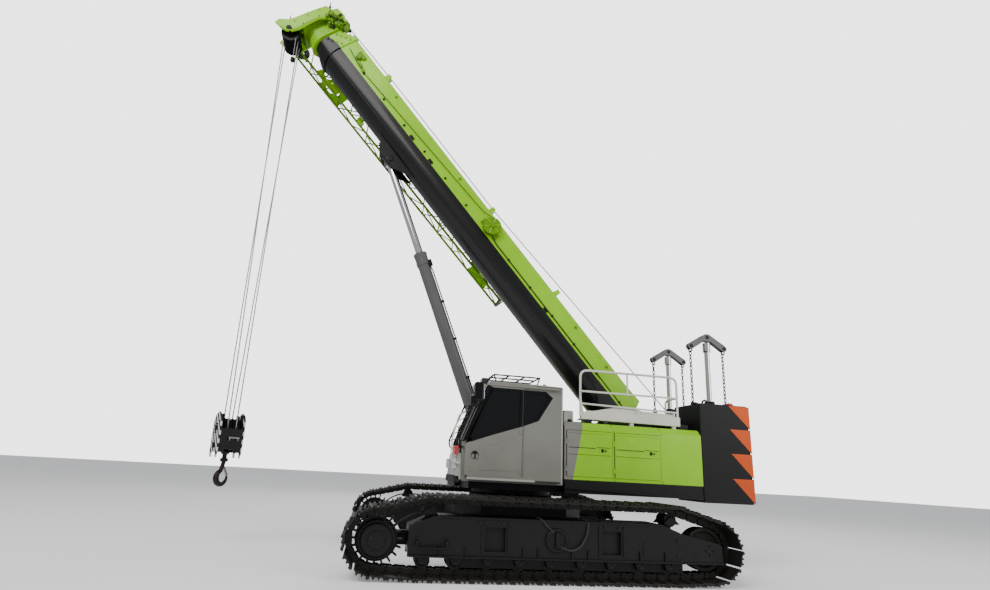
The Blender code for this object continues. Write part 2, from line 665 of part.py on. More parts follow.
def cab_outline(inset=0.0):
    """The cab from the side, with its raked windscreen."""
    rear, front, low, top = CAB_REAR + inset, CAB_FRONT - inset, CAB_BOTTOM + inset, CAB_TOP - inset
    return [(rear, low), (front - 0.03, low), (front, CAB_KNEE), (front - WINDSCREEN_RAKE, top), (rear, top)]


def cab_window():
    """The side glass's outline: its lower edge falls towards the front."""
    return [(-0.17, 2.83), (0.74, 2.83), (CAB_FRONT - 0.12, 2.02), (CAB_FRONT - 0.14, 1.93),
            (0.215, 2.26), (-0.045, 2.365), (-0.28, 2.75)]


def clipped(outline, x, keep_front):
    """The part of an outline in front of, or behind, a line across it."""
    made = []
    for (x1, z1), (x2, z2) in zip(outline, outline[1:] + outline[:1]):
        if (x1 > x) == keep_front:
            made.append((x1, z1))
        if (x1 > x) != (x2 > x):
            made.append((x, z1 + (z2 - z1) * (x - x1) / (x2 - x1)))
    return made


def door_outline(inset=0.0):
    front, low, top = CAB_FRONT - 0.06 - inset, CAB_BOTTOM + 0.09 + inset, CAB_TOP - 0.06 - inset
    rear = CAB_DOOR_SEAM + inset
    return [(rear, low), (front, low), (front, 1.90), (front - 0.36, top), (rear, top)]


def make_cab():
    inner, outer = CAB_INNER_Y, CAB_OUTER_Y
    door_in = outer + RUN
    door_out = door_in + 0.035
    shell = prism(cab_outline(), inner, outer)
    hollow = prism(cab_outline(CAB_WALL), inner + CAB_WALL, outer - CAB_WALL)
    opening = prism(door_outline(0.05), outer - CAB_WALL - 0.05, outer + 0.05)
    rear_window = clipped(cab_window(), CAB_DOOR_SEAM - SEAM_HALF, False)
    door_window = clipped(cab_window(), CAB_DOOR_SEAM + SEAM_HALF, True)
    quarter = prism(rear_window, outer - CAB_WALL - 0.05, outer + 0.05)
    right = prism(RIGHT_WINDOW, inner - 0.05, inner + CAB_WALL + 0.05)
    front = prism([(CAB_FRONT - 0.10, 1.75), (CAB_FRONT + 0.10, 1.75), (CAB_FRONT + 0.10, 2.0),
                   (0.95, 2.95), (0.55, 2.84), (CAB_FRONT - 0.2, 1.9)], inner + 0.07, outer - 0.07)
    roof = box((-0.10, 0.62), (inner + 0.15, outer - 0.20), (CAB_TOP - 0.10, CAB_TOP + 0.1))
    door_z = [z for _, z in door_outline()]
    rails = [box((-0.42, 1.12), (outer - 0.01, outer + 0.055), (min(door_z) - 0.045, min(door_z) - GAP)),
             box((-0.42, 0.86), (outer - 0.01, outer + 0.055), (max(door_z) + GAP, max(door_z) + 0.035))]
    guard = [box((-0.12, 0.70), (inner + 0.12, outer - 0.14), (CAB_TOP + 0.10, CAB_TOP + 0.13))]
    guard += [box((x, x + 0.03), (y, y + 0.03), (CAB_TOP + GAP, CAB_TOP + 0.12))
              for x in (-0.11, 0.66) for y in (inner + 0.13, outer - 0.18)]
    cuts = [hollow, opening, quarter, right, front, roof]
    node("cab_body", "superstructure", "grey", [shell] + rails, cuts)
    node("roof_guard", "superstructure", "black", guard)
    window = prism(door_window, door_in - 0.01, door_out + 0.01)
    panel = prism(door_outline(), door_in, door_out)
    handle = box((0.96, 1.06), (door_out - 0.005, door_out + 0.02), (1.68, 1.74))
    node("cab_door", "cab_door", "grey", [panel, handle], [window])
    pane = prism(shrunk(door_window), door_in + 0.012, door_in + 0.012 + GLASS)
    node("door_glass", "cab_door", "glass", [pane])
    pane = prism(shrunk(rear_window), outer - 0.03, outer - 0.03 + GLASS)
    node("quarter_glass", "superstructure", "glass", [pane])
    side = prism(shrunk(RIGHT_WINDOW), inner + 0.02, inner + 0.02 + GLASS)
    node("side_glass", "superstructure", "glass", [side])
    pane = [(CAB_FRONT - 0.030, 1.752), (CAB_FRONT - 0.022, 1.752), (CAB_FRONT - 0.024, 1.935),
            (0.868, 2.836), (0.860, 2.833), (CAB_FRONT - 0.032, 1.930)]
    node("windscreen", "superstructure", "glass", [prism(pane, inner + 0.07 + GAP, outer - 0.07 - GAP)])
    seat = [box((0.0, 0.40), (0.85, 1.25), (CAB_BOTTOM + CAB_WALL + GAP, 1.70)),
            box((-0.10, 0.46), (0.80, 1.30), (1.68, 1.84)),
            prism([(-0.14, 1.78), (0.02, 1.78), (-0.08, 2.50), (-0.20, 2.50)], 0.82, 1.28)]
    node("operator_seat", "superstructure", "cloth", seat)


def shrunk(outline):
    """An outline moved in by the touching gap."""
    middle = Vector((sum(x for x, _ in outline), sum(z for _, z in outline))) / len(outline)
    made = []
    for i, point in enumerate(outline):
        before, after = Vector(outline[i - 1]), Vector(outline[(i + 1) % len(outline)])
        here = Vector(point)
        to_here, onward = (here - before).normalized(), (after - here).normalized()
        normal_1 = Vector((-to_here.y, to_here.x))
        normal_2 = Vector((-onward.y, onward.x))
        if normal_1.dot(middle - here) < 0:
            normal_1 = -normal_1
        if normal_2.dot(middle - here) < 0:
            normal_2 = -normal_2
        mitre = (normal_1 + normal_2).normalized()
        made.append(tuple(here + mitre * GAP / max(mitre.dot(normal_1), 0.3)))
    return made


def make_handrail():
    y, half = RAIL_Y, RAIL_HALF
    rear, front = RAIL_X
    base = box(RAIL_X, (y - 0.05, y + 0.05), (2.46, 2.60))
    feet = [box((x - 0.04, x + 0.04), (y - 0.04, y + 0.04), (HOUSING_TOP + GAP, 2.50))
            for x in (rear + 0.1, RAIL_MIDDLE, front - 0.1)]
    posts = [box((x - half, x + half), (y - half, y + half), (2.55, RAIL_Z[0]))
             for x in (rear + 0.03, RAIL_MIDDLE, front - 0.03)]
    rails = [box((rear + 0.03, front - 0.03), (y - half, y + half), (z - half, z + half)) for z in RAIL_Z]
    node("handrail", "superstructure", "rail", [base] + feet + posts + rails)


# ---------------------------------------------------------------- counterweight
def make_counterweight():
    wall, half = WEIGHT_WALL, WEIGHT_HALF_WIDTH
    rear_of_recess = WEIGHT_REAR + wall
    cut = WEIGHT_CORNER
    outline = [(WEIGHT_FRONT, WEIGHT_RECESS_Y), (WEIGHT_FRONT, half), (WEIGHT_REAR + cut, half),
               (WEIGHT_REAR, half - cut), (WEIGHT_REAR, -half + cut), (WEIGHT_REAR + cut, -half),
               (WEIGHT_FRONT, -half), (WEIGHT_FRONT, -WEIGHT_RECESS_Y), (WEIGHT_POCKET_X, -WEIGHT_RECESS_Y),
               (WEIGHT_POCKET_X, -WEIGHT_POCKET_Y), (rear_of_recess, -WEIGHT_POCKET_Y),
               (rear_of_recess, WEIGHT_POCKET_Y), (WEIGHT_POCKET_X, WEIGHT_POCKET_Y),
               (WEIGHT_POCKET_X, WEIGHT_RECESS_Y)]
    shapes = [prism(outline, WEIGHT_BOTTOM, WEIGHT_TOP, "Z")]
    for side in (-1, 1):
        y = side * LIFT_Y
        across = (y - 0.02, y + 0.02)
        fore, aft = LIFT_X + YOKE_REACH, LIFT_X - YOKE_REACH
        shapes.append(box((fore - 0.05, fore + 0.05), across, (WEIGHT_TOP - 0.05, WEIGHT_TOP + EYE_HEIGHT)))
        shapes.append(box((aft - 0.05, WEIGHT_REAR + 0.05), across,
                          (WEIGHT_TOP - 0.15, WEIGHT_TOP + EYE_HEIGHT)))
    node("counterweight", "counterweight", "black", shapes)
    for side, name in ((1, "l"), (-1, "r")):
        y = side * LIFT_Y
        mast = rod((LIFT_X, y, LIFT_ROD_BOTTOM), (LIFT_X, y, YOKE_Z), LIFT_ROD_RADIUS)
        x, z, reach, drop = LIFT_X, YOKE_Z, YOKE_REACH, YOKE_DROP
        yoke = prism([(x - reach - 0.06, z - drop - 0.06), (x - reach + 0.05, z - drop - 0.07), (x, z - 0.10),
                      (x + reach - 0.05, z - drop - 0.07), (x + reach + 0.06, z - drop - 0.06),
                      (x + reach + 0.06, z - drop + 0.05), (x + 0.12, z + 0.11), (x - 0.12, z + 0.11),
                      (x - reach - 0.06, z - drop + 0.05)], y - 0.06, y + 0.06)
        chains = [box((x + s * reach - 0.025, x + s * reach + 0.025), (y - 0.025, y + 0.025),
                      (WEIGHT_TOP + EYE_HEIGHT + GAP, z - drop)) for s in (-1, 1)]
        node("lift_mast_" + name, "counterweight", "chrome", [mast, yoke] + chains)
        barrel = rod((LIFT_X, y, LIFT_BARREL_BOTTOM), (LIFT_X, y, LIFT_BARREL_TOP), LIFT_BARREL_RADIUS)
        bore = rod((LIFT_X, y, LIFT_BORE_BOTTOM), (LIFT_X, y, LIFT_BARREL_TOP + 0.1),
                   sleeve_radius(LIFT_ROD_RADIUS, SIDES))
        node("lift_cylinder_" + name, "superstructure", "grey", [barrel], [bore])


# ---------------------------------------------------------------- boom
def section_profile(index, grow=0.0):
    """A boom section across its length: a box above and a half round below."""
    half = BOOM_WIDTH / 2 - index * SECTION_STEP / 2 + grow
    top = BOOM_TOP - index * SECTION_STEP / 2 + grow
    low = BOOM_TOP - BOOM_DEPTH + index * SECTION_STEP / 2 - grow
    chamfer = BOOM_CHAMFER
    middle = low + half
    turns = [math.pi * i / BOOM_ARC_SIDES for i in range(BOOM_ARC_SIDES + 1)]
    arc = [(-half * math.cos(turn), middle - half * math.sin(turn)) for turn in turns]
    over = [(half, top - chamfer), (half - chamfer, top), (-half + chamfer, top), (-half, top - chamfer)]
    return over + arc


def tube(index, start, end):
    """A section's outer skin and the bore inside it."""
    return prism(section_profile(index), start, end, "X"), section_profile(index, -BOOM_WALL)


def collar(index, start):
    """The thick ring at a section's front end, and the opening for the next section."""
    inner = section_profile(index + 1, 0.005)
    return prism(section_profile(index, COLLAR_STAND), start, start + COLLAR_LENGTH, "X"), inner


def collar_start(index):
    return BASE_LENGTH + index * (COLLAR_LENGTH + GAP)


def section(index, rear):
    front = collar_start(index)
    skin, bore = tube(index, rear, front + 0.01)
    ring, mouth = collar(index, front)
    cuts = [prism(bore, rear - 0.05, front + 0.02, "X"),
            prism(mouth, front, front + COLLAR_LENGTH + 0.05, "X")]
    return [skin, ring], cuts


def make_boom():
    body_low = BOOM_TOP - BOOM_DEPTH
    pin = hole_radius(FOOT_PIN_RADIUS, FOOT_PIN_SIDES)
    shapes, cuts = section(0, BOOM_REAR + 0.20)
    foot = [(-0.17, -0.10), (-0.10, -0.17), (0.10, -0.17), (0.75, body_low + 0.14), (1.10, body_low + 0.30),
            (1.10, BOOM_TOP - 0.05), (BOOM_REAR, BOOM_TOP), (BOOM_REAR - 0.10, 0.20), (-0.10, 0.17),
            (-0.17, 0.10)]
    inner = BOOM_WIDTH / 2 - 0.05
    outer = BOOM_WIDTH / 2 + 0.010
    shapes += both(prism(foot, inner, outer))
    bridge = [(BOOM_REAR + 0.01, BOOM_TOP - 0.10), (BOOM_REAR + 0.26, BOOM_TOP - 0.10),
              (BOOM_REAR + 0.26, BOOM_TOP), (BOOM_REAR + 0.01, BOOM_TOP)]
    shapes.append(prism(bridge, -inner - 0.01, inner + 0.01))
    shapes.append(rod((0, -inner - 0.01, 0), (0, inner + 0.01, 0), 0.16, FINE_SIDES))
    s, n = LUFF_EYE
    ear = [(s - 0.34, body_low + 0.16), (s + 0.34, body_low + 0.16),
           (s + 0.12, n - LUFF_EYE_RADIUS), (s - 0.12, n - LUFF_EYE_RADIUS)]
    low = LUFF_EYE_WIDTH / 2 + 0.006
    shapes += both(prism(ear, low, low + 0.05))
    for x in ROPE_GUIDES:
        shapes.append(box((x - 0.05, x + 0.05), (0.18, 0.24), (BOOM_TOP - 0.02, BOOM_TOP + 0.12)))
    for x in JIB_CLAMPS:
        shapes.append(box((x - 0.06, x + 0.06), (JIB_Y[1] + JIB_TUBE + GAP, -BOOM_WIDTH / 2 + 0.01),
                          (-0.05, 0.17)))
    cuts.append(rod((0, -0.5, 0), (0, 0.5, 0), pin, FOOT_PIN_SIDES))
    node("boom_base", "boom", "lime", shapes, cuts, BOOM_SPACE)
    reach = CHEEK_INNER_Y + CHEEK + 0.03
    node("boom_foot_pin", "boom_foot_pin", "steel",
         [rod((0, -reach, 0), (0, reach, 0), FOOT_PIN_RADIUS, FOOT_PIN_SIDES)], (), BOOM_SPACE)
    for index in range(1, SECTION_COUNT):
        rear = 0.55 + 0.08 * index
        shapes, cuts = section(index, rear)
        if index == SECTION_COUNT - 1:
            front = collar_start(index)
            cuts = [prism(section_profile(index, -BOOM_WALL), rear - 0.05, front, "X")]
        name = f"boom_section_{index + 1}"
        node(name, name, "lime", shapes, cuts, BOOM_SPACE)
    make_head()
    make_jib()


def make_head():
    start = HEAD_START
    nose = start + 0.6485
    low, high = HEAD_HALF_WIDTH - 0.03, HEAD_HALF_WIDTH
    plate = [(start, -0.38), (start + 0.10, -0.80), (HEAD_SHEAVE[0] - 0.05, -0.88),
             (HEAD_SHEAVE[0] + 0.12, -0.85), (nose, -0.68), (nose - 0.14, -0.05), (nose - 0.22, 0.42),
             (TOP_SHEAVE[0], TOP_SHEAVE[1] + 0.12), (start + 0.02, 0.46)]
    plates = both(prism(plate, low, high))
    back = box((start, start + 0.05), (-high + 0.01, high - 0.01), (-0.34, 0.26))
    tie = box((start, nose - 0.20), (-high + 0.01, high - 0.01), (-0.06, -0.01))
    front = box((nose - 0.26, nose - 0.19), (-high + 0.01, high - 0.01), (-0.20, 0.16))
    s, n = TOP_SHEAVE
    shaft = rod((s, -high, n), (s, high, n), SHEAVE_SHAFT, FINE_SIDES)
    s, n = HEAD_SHEAVE
    holes = [rod((s, -0.5, n), (s, 0.5, n), hole_radius(SHEAVE_SHAFT), FINE_SIDES)]
    node("boom_head", "boom_section_5", "lime", plates + [back, tie, front, shaft], holes, BOOM_SPACE)
    centre = (TOP_SHEAVE[0], 0, TOP_SHEAVE[1])
    s, _, n = centre
    bore = rod((s, -0.2, n), (s, 0.2, n), hole_radius(SHEAVE_SHAFT), FINE_SIDES)
    node("top_sheave", "boom_section_5", "black", [sheave(centre, (0, 1, 0))], [bore], BOOM_SPACE)
    top = head_point()
    wheels = [sheave((top.x, y, top.z), (0, 1, 0)) for y in (-ROPE_Y, ROPE_Y)]
    shaft = rod((top.x, -high, top.z), (top.x, high, top.z), SHEAVE_SHAFT, FINE_SIDES)
    node("head_sheaves", "head_sheaves", "black", wheels + [shaft])


def lattice(chords, bays, span):
    """Straight braces between the chords, zigzagging along the jib."""
    made = []
    step = (span[1] - span[0]) / bays
    pairs = [(0, 1), (1, 2), (2, 3), (3, 0)]
    for bay in range(bays):
        for first, second in pairs:
            a, b = (first, second) if bay % 2 else (second, first)
            start = (span[0] + bay * step, *chords[a])
            end = (span[0] + (bay + 1) * step, *chords[b])
            made.append(rod(start, end, JIB_BRACE, 4))
    return made


def make_jib():
    """The folded lattice extension, pinned along the right side of the base section."""
    chords = [(JIB_Y[0], JIB_N[0]), (JIB_Y[1], JIB_N[0]), (JIB_Y[1], JIB_N[1]), (JIB_Y[0], JIB_N[1])]
    start, end = JIB_SPAN
    bars = [rod((start, y, n), (end, y, n), JIB_TUBE, 6) for y, n in chords]
    ends = []
    for x in (start + 0.03, end - 0.03):
        for (y1, n1), (y2, n2) in zip(chords, chords[1:] + chords[:1]):
            ends.append(rod((x, y1, n1), (x, y2, n2), 0.02, 4))
    braces = lattice(chords, JIB_BAYS, (start + 0.06, end - 0.06))
    pads = [box((x - 0.07, x + 0.07), (JIB_Y[1] - JIB_TUBE, JIB_Y[1] + JIB_TUBE), JIB_N) for x in JIB_CLAMPS]
    node("stowed_jib", "boom", "black", bars + ends + braces + pads, (), BOOM_SPACE)


# ---------------------------------------------------------------- luffing cylinder
def luff_space():
    """From the foot pin, with X along the cylinder."""
    eye = BOOM_SPACE @ Vector((LUFF_EYE[0], 0, LUFF_EYE[1]))
    foot = Vector((LUFF_FOOT[0], 0, LUFF_FOOT[1]))
    along = eye - foot
    angle = math.atan2(along.z, along.x)
    return Matrix.Translation(foot) @ Matrix.Rotation(-angle, 4, "Y"), along.length


def make_luffing_cylinder():
    space, length = luff_space()
    half = LUFF_EYE_WIDTH / 2
    radius, bore = LUFF_BARREL_RADIUS, LUFF_BARREL_RADIUS - LUFF_BARREL_WALL
    eye = rod((0, -half, 0), (0, half, 0), LUFF_EYE_RADIUS, FINE_SIDES)
    barrel = turned([(0.05, 0.08), (0.22, 0.08), (0.25, radius), (LUFF_BARREL_LENGTH, radius)],
                    (0, 0, 0), (1, 0, 0), FINE_SIDES)
    hollow = rod((0.30, 0, 0), (LUFF_BARREL_LENGTH - 0.08, 0, 0), bore, FINE_SIDES)
    rod_bore = sleeve_radius(LUFF_ROD_RADIUS, FINE_SIDES)
    mouth = rod((1.0, 0, 0), (LUFF_BARREL_LENGTH + 0.1, 0, 0), rod_bore, FINE_SIDES)
    pin_hole = rod((0, -0.3, 0), (0, 0.3, 0), hole_radius(LUFF_PIN_RADIUS), FINE_SIDES)
    node("luffing_cylinder", "luffing_cylinder", "steel", [barrel, eye], [hollow, mouth, pin_hole], space)
    ring_out = sleeve_radius(bore - 2 * GAP, FINE_SIDES)
    rear, front = LUFF_PISTON
    ring = rod((rear, 0, 0), (front, 0, 0), ring_out, FINE_SIDES)
    through = rod((rear - 0.12, 0, 0), (front + 0.14, 0, 0), rod_bore, FINE_SIDES)
    node("luffing_piston", "luffing_piston", "steel", [ring], [through], space)
    shaft = rod((length - LUFF_ROD_LENGTH, 0, 0), (length - 0.05, 0, 0), LUFF_ROD_RADIUS, FINE_SIDES)
    head = rod((length, -half, 0), (length, half, 0), LUFF_EYE_RADIUS, FINE_SIDES)
    node("luffing_rod", "luffing_rod", "chrome", [shaft, head], (), space)
    reach = half + 0.05
    node("luffing_foot_pin", "luffing_foot_pin", "steel",
         [rod((0, -reach, 0), (0, reach, 0), LUFF_PIN_RADIUS, FINE_SIDES)], (), space)


# ---------------------------------------------------------------- hook block and ropes
def head_point():
    return BOOM_SPACE @ Vector((HEAD_SHEAVE[0], 0, HEAD_SHEAVE[1]))


def block_axes():
    turn = math.radians(BLOCK_TURN)
    axis = Vector((math.sin(turn), math.cos(turn), 0))
    return axis, Vector((-axis.y, axis.x, 0))


def make_hook():
    top = head_point()
    axis, across = block_axes()
    pitch = ROPE_PITCH_RADIUS
    spread = BLOCK_SPREAD
    middle_z = BLOCK_TOP - 0.30
    centre = Vector((top.x, 0, middle_z))
    falls = [((-pitch, ROPE_Y), (-spread, pitch)), ((pitch, ROPE_Y), (spread, pitch)),
             ((pitch, -ROPE_Y), (spread, -pitch)), ((-pitch, -ROPE_Y), (-spread, -pitch))]
    for number, ((x, y), (a, b)) in enumerate(falls, 1):
        low = centre + a * axis + b * across
        node(f"hoist_rope_{number}", "hoist_ropes", "rope",
             [rod((top.x + x, y, top.z), tuple(low), ROPE_RADIUS, ROPE_SIDES)])
    turn = Matrix.Translation(centre) @ Matrix.Rotation(math.radians(90 - BLOCK_TURN), 4, "Z")
    half = BLOCK_WIDTH / 2
    low = BLOCK_BOTTOM - middle_z
    cheek = [(-half, 0.02), (-half + 0.06, 0.20), (0, 0.30), (half - 0.06, 0.20), (half, 0.02),
             (half - 0.03, -0.22), (0.10, low + 0.12), (0.10, low), (-0.10, low), (-0.10, low + 0.12),
             (-half + 0.03, -0.22)]
    cheeks = [prism(cheek, s * 0.135 - 0.015, s * 0.135 + 0.015, "X") for s in (-1, 1)]
    wheels = [sheave((s * spread, 0, 0), (1, 0, 0)) for s in (-1, 1)]
    pin = rod((-0.17, 0, 0), (0.17, 0, 0), 0.05)
    foot = box((-0.14, 0.14), (-0.10, 0.10), (low, low + 0.20))
    shank_hole = rod((0, 0, low - 0.1), (0, 0, low + 0.12), hole_radius(0.045, SIDES))
    node("hook_block", "hook_block", "black", cheeks + wheels + [pin, foot], [shank_hole], turn)
    node("hook", "hook", "black", hook_shapes(top.x))


def hook_shapes(x):
    """A single hook: a shank, a bowl open to one side, and a tip."""
    bowl, thick = HOOK_BOWL, HOOK_THICKNESS
    middle = HOOK_BOTTOM + thick + bowl
    shank_top = BLOCK_BOTTOM + 0.12 - GAP
    line = [(x, 0, shank_top), (x, 0, BLOCK_BOTTOM - 0.06), (x + 0.02, 0, BLOCK_BOTTOM - 0.14)]
    radii = [0.045, 0.045, 0.042]
    for degrees in range(50, -211, -26):
        angle = math.radians(degrees)
        line.append((x + bowl * math.cos(angle), 0, middle + bowl * math.sin(angle)))
        radii.append(thick - 0.012 * max(0, -degrees - 90) / 120)
    nut = rod((x, 0, BLOCK_BOTTOM - 0.05), (x, 0, BLOCK_BOTTOM - GAP), 0.065)
    return [swept(line, radii), nut]


# ---------------------------------------------------------------- the whole machine
def make_bodies():
    body("undercarriage")
    body("superstructure", "undercarriage", (0, 0, DECK_BOTTOM))
    body("counterweight", "superstructure", (LIFT_X, 0, WEIGHT_BOTTOM))
    body("cab_door", "superstructure", (CAB_DOOR_SEAM, CAB_OUTER_Y, CAB_BOTTOM))
    for side, sign in (("left", 1), ("right", -1)):
        for name, seam in (("front", DOOR_SEAMS[0]), ("rear", DOOR_SEAMS[1])):
            body(f"{side}_hood_door_{name}", "superstructure",
                 (seam - DOOR_MARGIN - RUN, sign * HINGE_Y, DECK_TOP))
    for name, (x, z) in zip(("winch_drum_rear", "winch_drum_front"), WINCHES):
        body(name, "superstructure", (x, 0, z))
    body("boom_foot_pin", "superstructure", (0, 0, 0), BOOM_SPACE)
    body("boom", "boom_foot_pin", (0, 0, 0), BOOM_SPACE)
    parent = "boom"
    for index in range(1, SECTION_COUNT):
        name = f"boom_section_{index + 1}"
        body(name, parent, (collar_start(index), 0, 0), BOOM_SPACE)
        parent = name
    top = head_point()
    body("head_sheaves", parent, tuple(top))
    body("hoist_ropes", "head_sheaves", tuple(top))
    body("hook_block", "hoist_ropes", (top.x, 0, BLOCK_BOTTOM))
    body("hook", "hook_block", (top.x, 0, BLOCK_BOTTOM))
    space, _ = luff_space()
    body("luffing_foot_pin", "superstructure", (0, 0, 0), space)
    body("luffing_cylinder", "luffing_foot_pin", (0, 0, 0), space)
    body("luffing_piston", "luffing_cylinder", (LUFF_PISTON[0], 0, 0), space)
    body("luffing_rod", "luffing_piston", (LUFF_BARREL_LENGTH, 0, 0), space)


def centre_machine():
    """Moves the whole machine along X, so that the middle of its length lies over the origin."""
    bpy.context.view_layer.update()
    reach = [(obj.matrix_world @ vertex.co).x for obj in bpy.context.scene.objects if obj.type == "MESH"
             for vertex in obj.data.vertices]
    BODIES["undercarriage"][0].location.x = -(min(reach) + max(reach)) / 2


def main():
    clear_scene()
    make_bodies()
    make_undercarriage()
    make_revolving_frame()
    make_winches()
    make_housings()
    make_cab()
    make_handrail()
    make_counterweight()
    make_boom()
    make_luffing_cylinder()
    make_hook()
    centre_machine()


main()
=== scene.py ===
"""Looks of a telescopic-boom crawler crane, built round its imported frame.

Metres throughout. +X is the way the boom points, +Y the machine's left and +Z up. Places on the
machine are given from its slewing axis, and places on the boom along it from its foot pin.
"""

import json
import math

import bmesh
import bpy
from mathutils import Matrix, Vector


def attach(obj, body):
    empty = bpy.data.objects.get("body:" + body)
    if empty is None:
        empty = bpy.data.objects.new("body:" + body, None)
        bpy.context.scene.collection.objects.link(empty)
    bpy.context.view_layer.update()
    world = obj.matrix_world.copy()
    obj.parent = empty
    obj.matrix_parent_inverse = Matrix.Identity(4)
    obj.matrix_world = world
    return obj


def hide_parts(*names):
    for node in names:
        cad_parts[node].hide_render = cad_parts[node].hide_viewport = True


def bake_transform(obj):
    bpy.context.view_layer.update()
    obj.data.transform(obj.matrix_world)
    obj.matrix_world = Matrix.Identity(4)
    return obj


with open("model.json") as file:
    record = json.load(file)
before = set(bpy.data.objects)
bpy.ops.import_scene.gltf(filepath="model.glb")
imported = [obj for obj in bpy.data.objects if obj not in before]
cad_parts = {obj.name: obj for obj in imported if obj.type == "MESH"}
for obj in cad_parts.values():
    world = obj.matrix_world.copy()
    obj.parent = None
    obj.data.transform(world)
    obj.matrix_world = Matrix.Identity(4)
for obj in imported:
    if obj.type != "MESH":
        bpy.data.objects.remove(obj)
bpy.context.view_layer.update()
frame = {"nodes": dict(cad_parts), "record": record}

bl_info = {
    "name": "Crawler crane looks",
    "version": (1, 0, 0),
    "blender": (4, 5, 0),
    "location": "View3D > Sidebar > Crane",
    "description": "Finishes the crane's frame with panels, ropes, tracks and paint",
    "category": "Object",
}

# ---------------------------------------------------------------- places taken from the frame
JOINTS = {joint["name"]: joint for joint in frame["record"]["behaviour"]["joints"]}
SLEW_X = JOINTS["slew"]["pos_m"][0]
BOOM_FOOT = Vector(JOINTS["boom_luff_up"]["pos_m"])
BOOM_ALONG = Vector(JOINTS["telescope"]["axis"]).normalized()
BOOM_UP = Vector((-BOOM_ALONG.z, 0, BOOM_ALONG.x))
BOOM_PITCH = math.atan2(BOOM_ALONG.z, BOOM_ALONG.x)
LUFF_FOOT = Vector(JOINTS["cylinder_tilt_up"]["pos_m"])
LUFF_ALONG = Vector(JOINTS["cylinder_stroke_up"]["axis"]).normalized()
MACHINE = Matrix.Translation((SLEW_X, 0, 0))
BOOM = Matrix.Translation(BOOM_FOOT) @ Matrix.Rotation(-BOOM_PITCH, 4, "Y")
LUFF = Matrix.Translation(LUFF_FOOT) @ Matrix.Rotation(-math.atan2(LUFF_ALONG.z, LUFF_ALONG.x), 4, "Y")
HERE = Matrix()
BOTH = (1, -1)


# ---------------------------------------------------------------- what a user may change
class CranePaint(bpy.types.PropertyGroup):
    """Colours of the machine's finishes."""

    lime: bpy.props.FloatVectorProperty(
        name="Lime paint", description="Boom and hood", subtype="COLOR", size=3,
        min=0, max=1, default=(0.26, 0.58, 0.0))
    grey: bpy.props.FloatVectorProperty(
        name="Grey paint", description="Cab and yokes", subtype="COLOR", size=3,
        min=0, max=1, default=(0.20, 0.20, 0.175))
    dark: bpy.props.FloatVectorProperty(
        name="Dark paint", description="Counterweight, frame and lower boom", subtype="COLOR", size=3,
        min=0, max=1, default=(0.004, 0.0042, 0.0045))
    orange: bpy.props.FloatVectorProperty(
        name="Warning orange", description="Teeth on the counterweight", subtype="COLOR", size=3,
        min=0, max=1, default=(0.62, 0.075, 0.002))
    rail: bpy.props.FloatVectorProperty(
        name="Rail paint", description="Handrail and walkway", subtype="COLOR", size=3,
        min=0, max=1, default=(0.66, 0.65, 0.58))


class CraneSizes(bpy.types.PropertyGroup):
    """Sizes of what is added to the frame."""

    rope: bpy.props.FloatProperty(
        name="Rope diameter", description="Hoist rope", default=0.022, min=0.01, unit="LENGTH")
    shoes: bpy.props.IntProperty(
        name="Shoes", description="Shoes on each track", default=63, min=20)
    rail_tube: bpy.props.FloatProperty(
        name="Rail tube", description="Diameter of the handrail's tube", default=0.042, min=0.01,
        unit="LENGTH")
    bolt: bpy.props.FloatProperty(
        name="Bolt head", description="Width of the larger bolt heads", default=0.036, min=0.01,
        unit="LENGTH")


# ---------------------------------------------------------------- modelling tools
def clear_selection():
    if bpy.context.mode != "OBJECT":
        bpy.ops.object.mode_set(mode="OBJECT")
    bpy.ops.object.select_all(action="DESELECT")


def only(obj):
    clear_selection()
    obj.select_set(True)
    bpy.context.view_layer.objects.active = obj
    return obj


def applied(obj, kind, **settings):
    """Adds a modifier and applies it at once."""
    only(obj)
    modifier = obj.modifiers.new(kind.title(), kind)
    for name, value in settings.items():
        setattr(modifier, name, value)
    bpy.ops.object.modifier_apply(modifier=modifier.name)
    return obj


def bevelled(obj, width, segments=2, angle=30):
    if width:
        applied(obj, "BEVEL", width=width, segments=segments, limit_method="ANGLE",
                angle_limit=math.radians(angle), harden_normals=False)
    return obj


def placed(obj, space):
    """Moves a new shape from the space it was drawn in to its place on the machine."""
    obj.data.transform(space @ obj.matrix_world)
    obj.matrix_world = Matrix()
    if space.determinant() < 0:
        obj.data.flip_normals()
    return obj


def block(corner, opposite, bevel=0.008, space=MACHINE, segments=2):
    """A box between two corners, with its edges broken."""
    clear_selection()
    a, b = Vector(corner), Vector(opposite)
    bpy.ops.mesh.primitive_cube_add(size=1, location=(a + b) / 2)
    obj = bpy.context.active_object
    obj.scale = [abs(v) for v in b - a]
    bpy.ops.object.transform_apply(location=True, rotation=False, scale=True)
    bevelled(obj, min(bevel, 0.45 * min(abs(v) for v in b - a)), segments)
    return placed(obj, space)


def rod(start, end, radius, bevel=0.0, space=MACHINE, sides=24, end_radius=None):
    """A round bar or cone from one point to another."""
    clear_selection()
    a, b = Vector(start), Vector(end)
    turn = (b - a).to_track_quat("Z", "Y").to_euler()
    bpy.ops.mesh.primitive_cone_add(
        vertices=sides, radius1=radius, radius2=radius if end_radius is None else end_radius,
        depth=(b - a).length, location=(a + b) / 2, rotation=turn)
    obj = bpy.context.active_object
    bpy.ops.object.transform_apply(location=True, rotation=True, scale=True)
    bevelled(obj, bevel, 2, 50)
    return placed(obj, space)


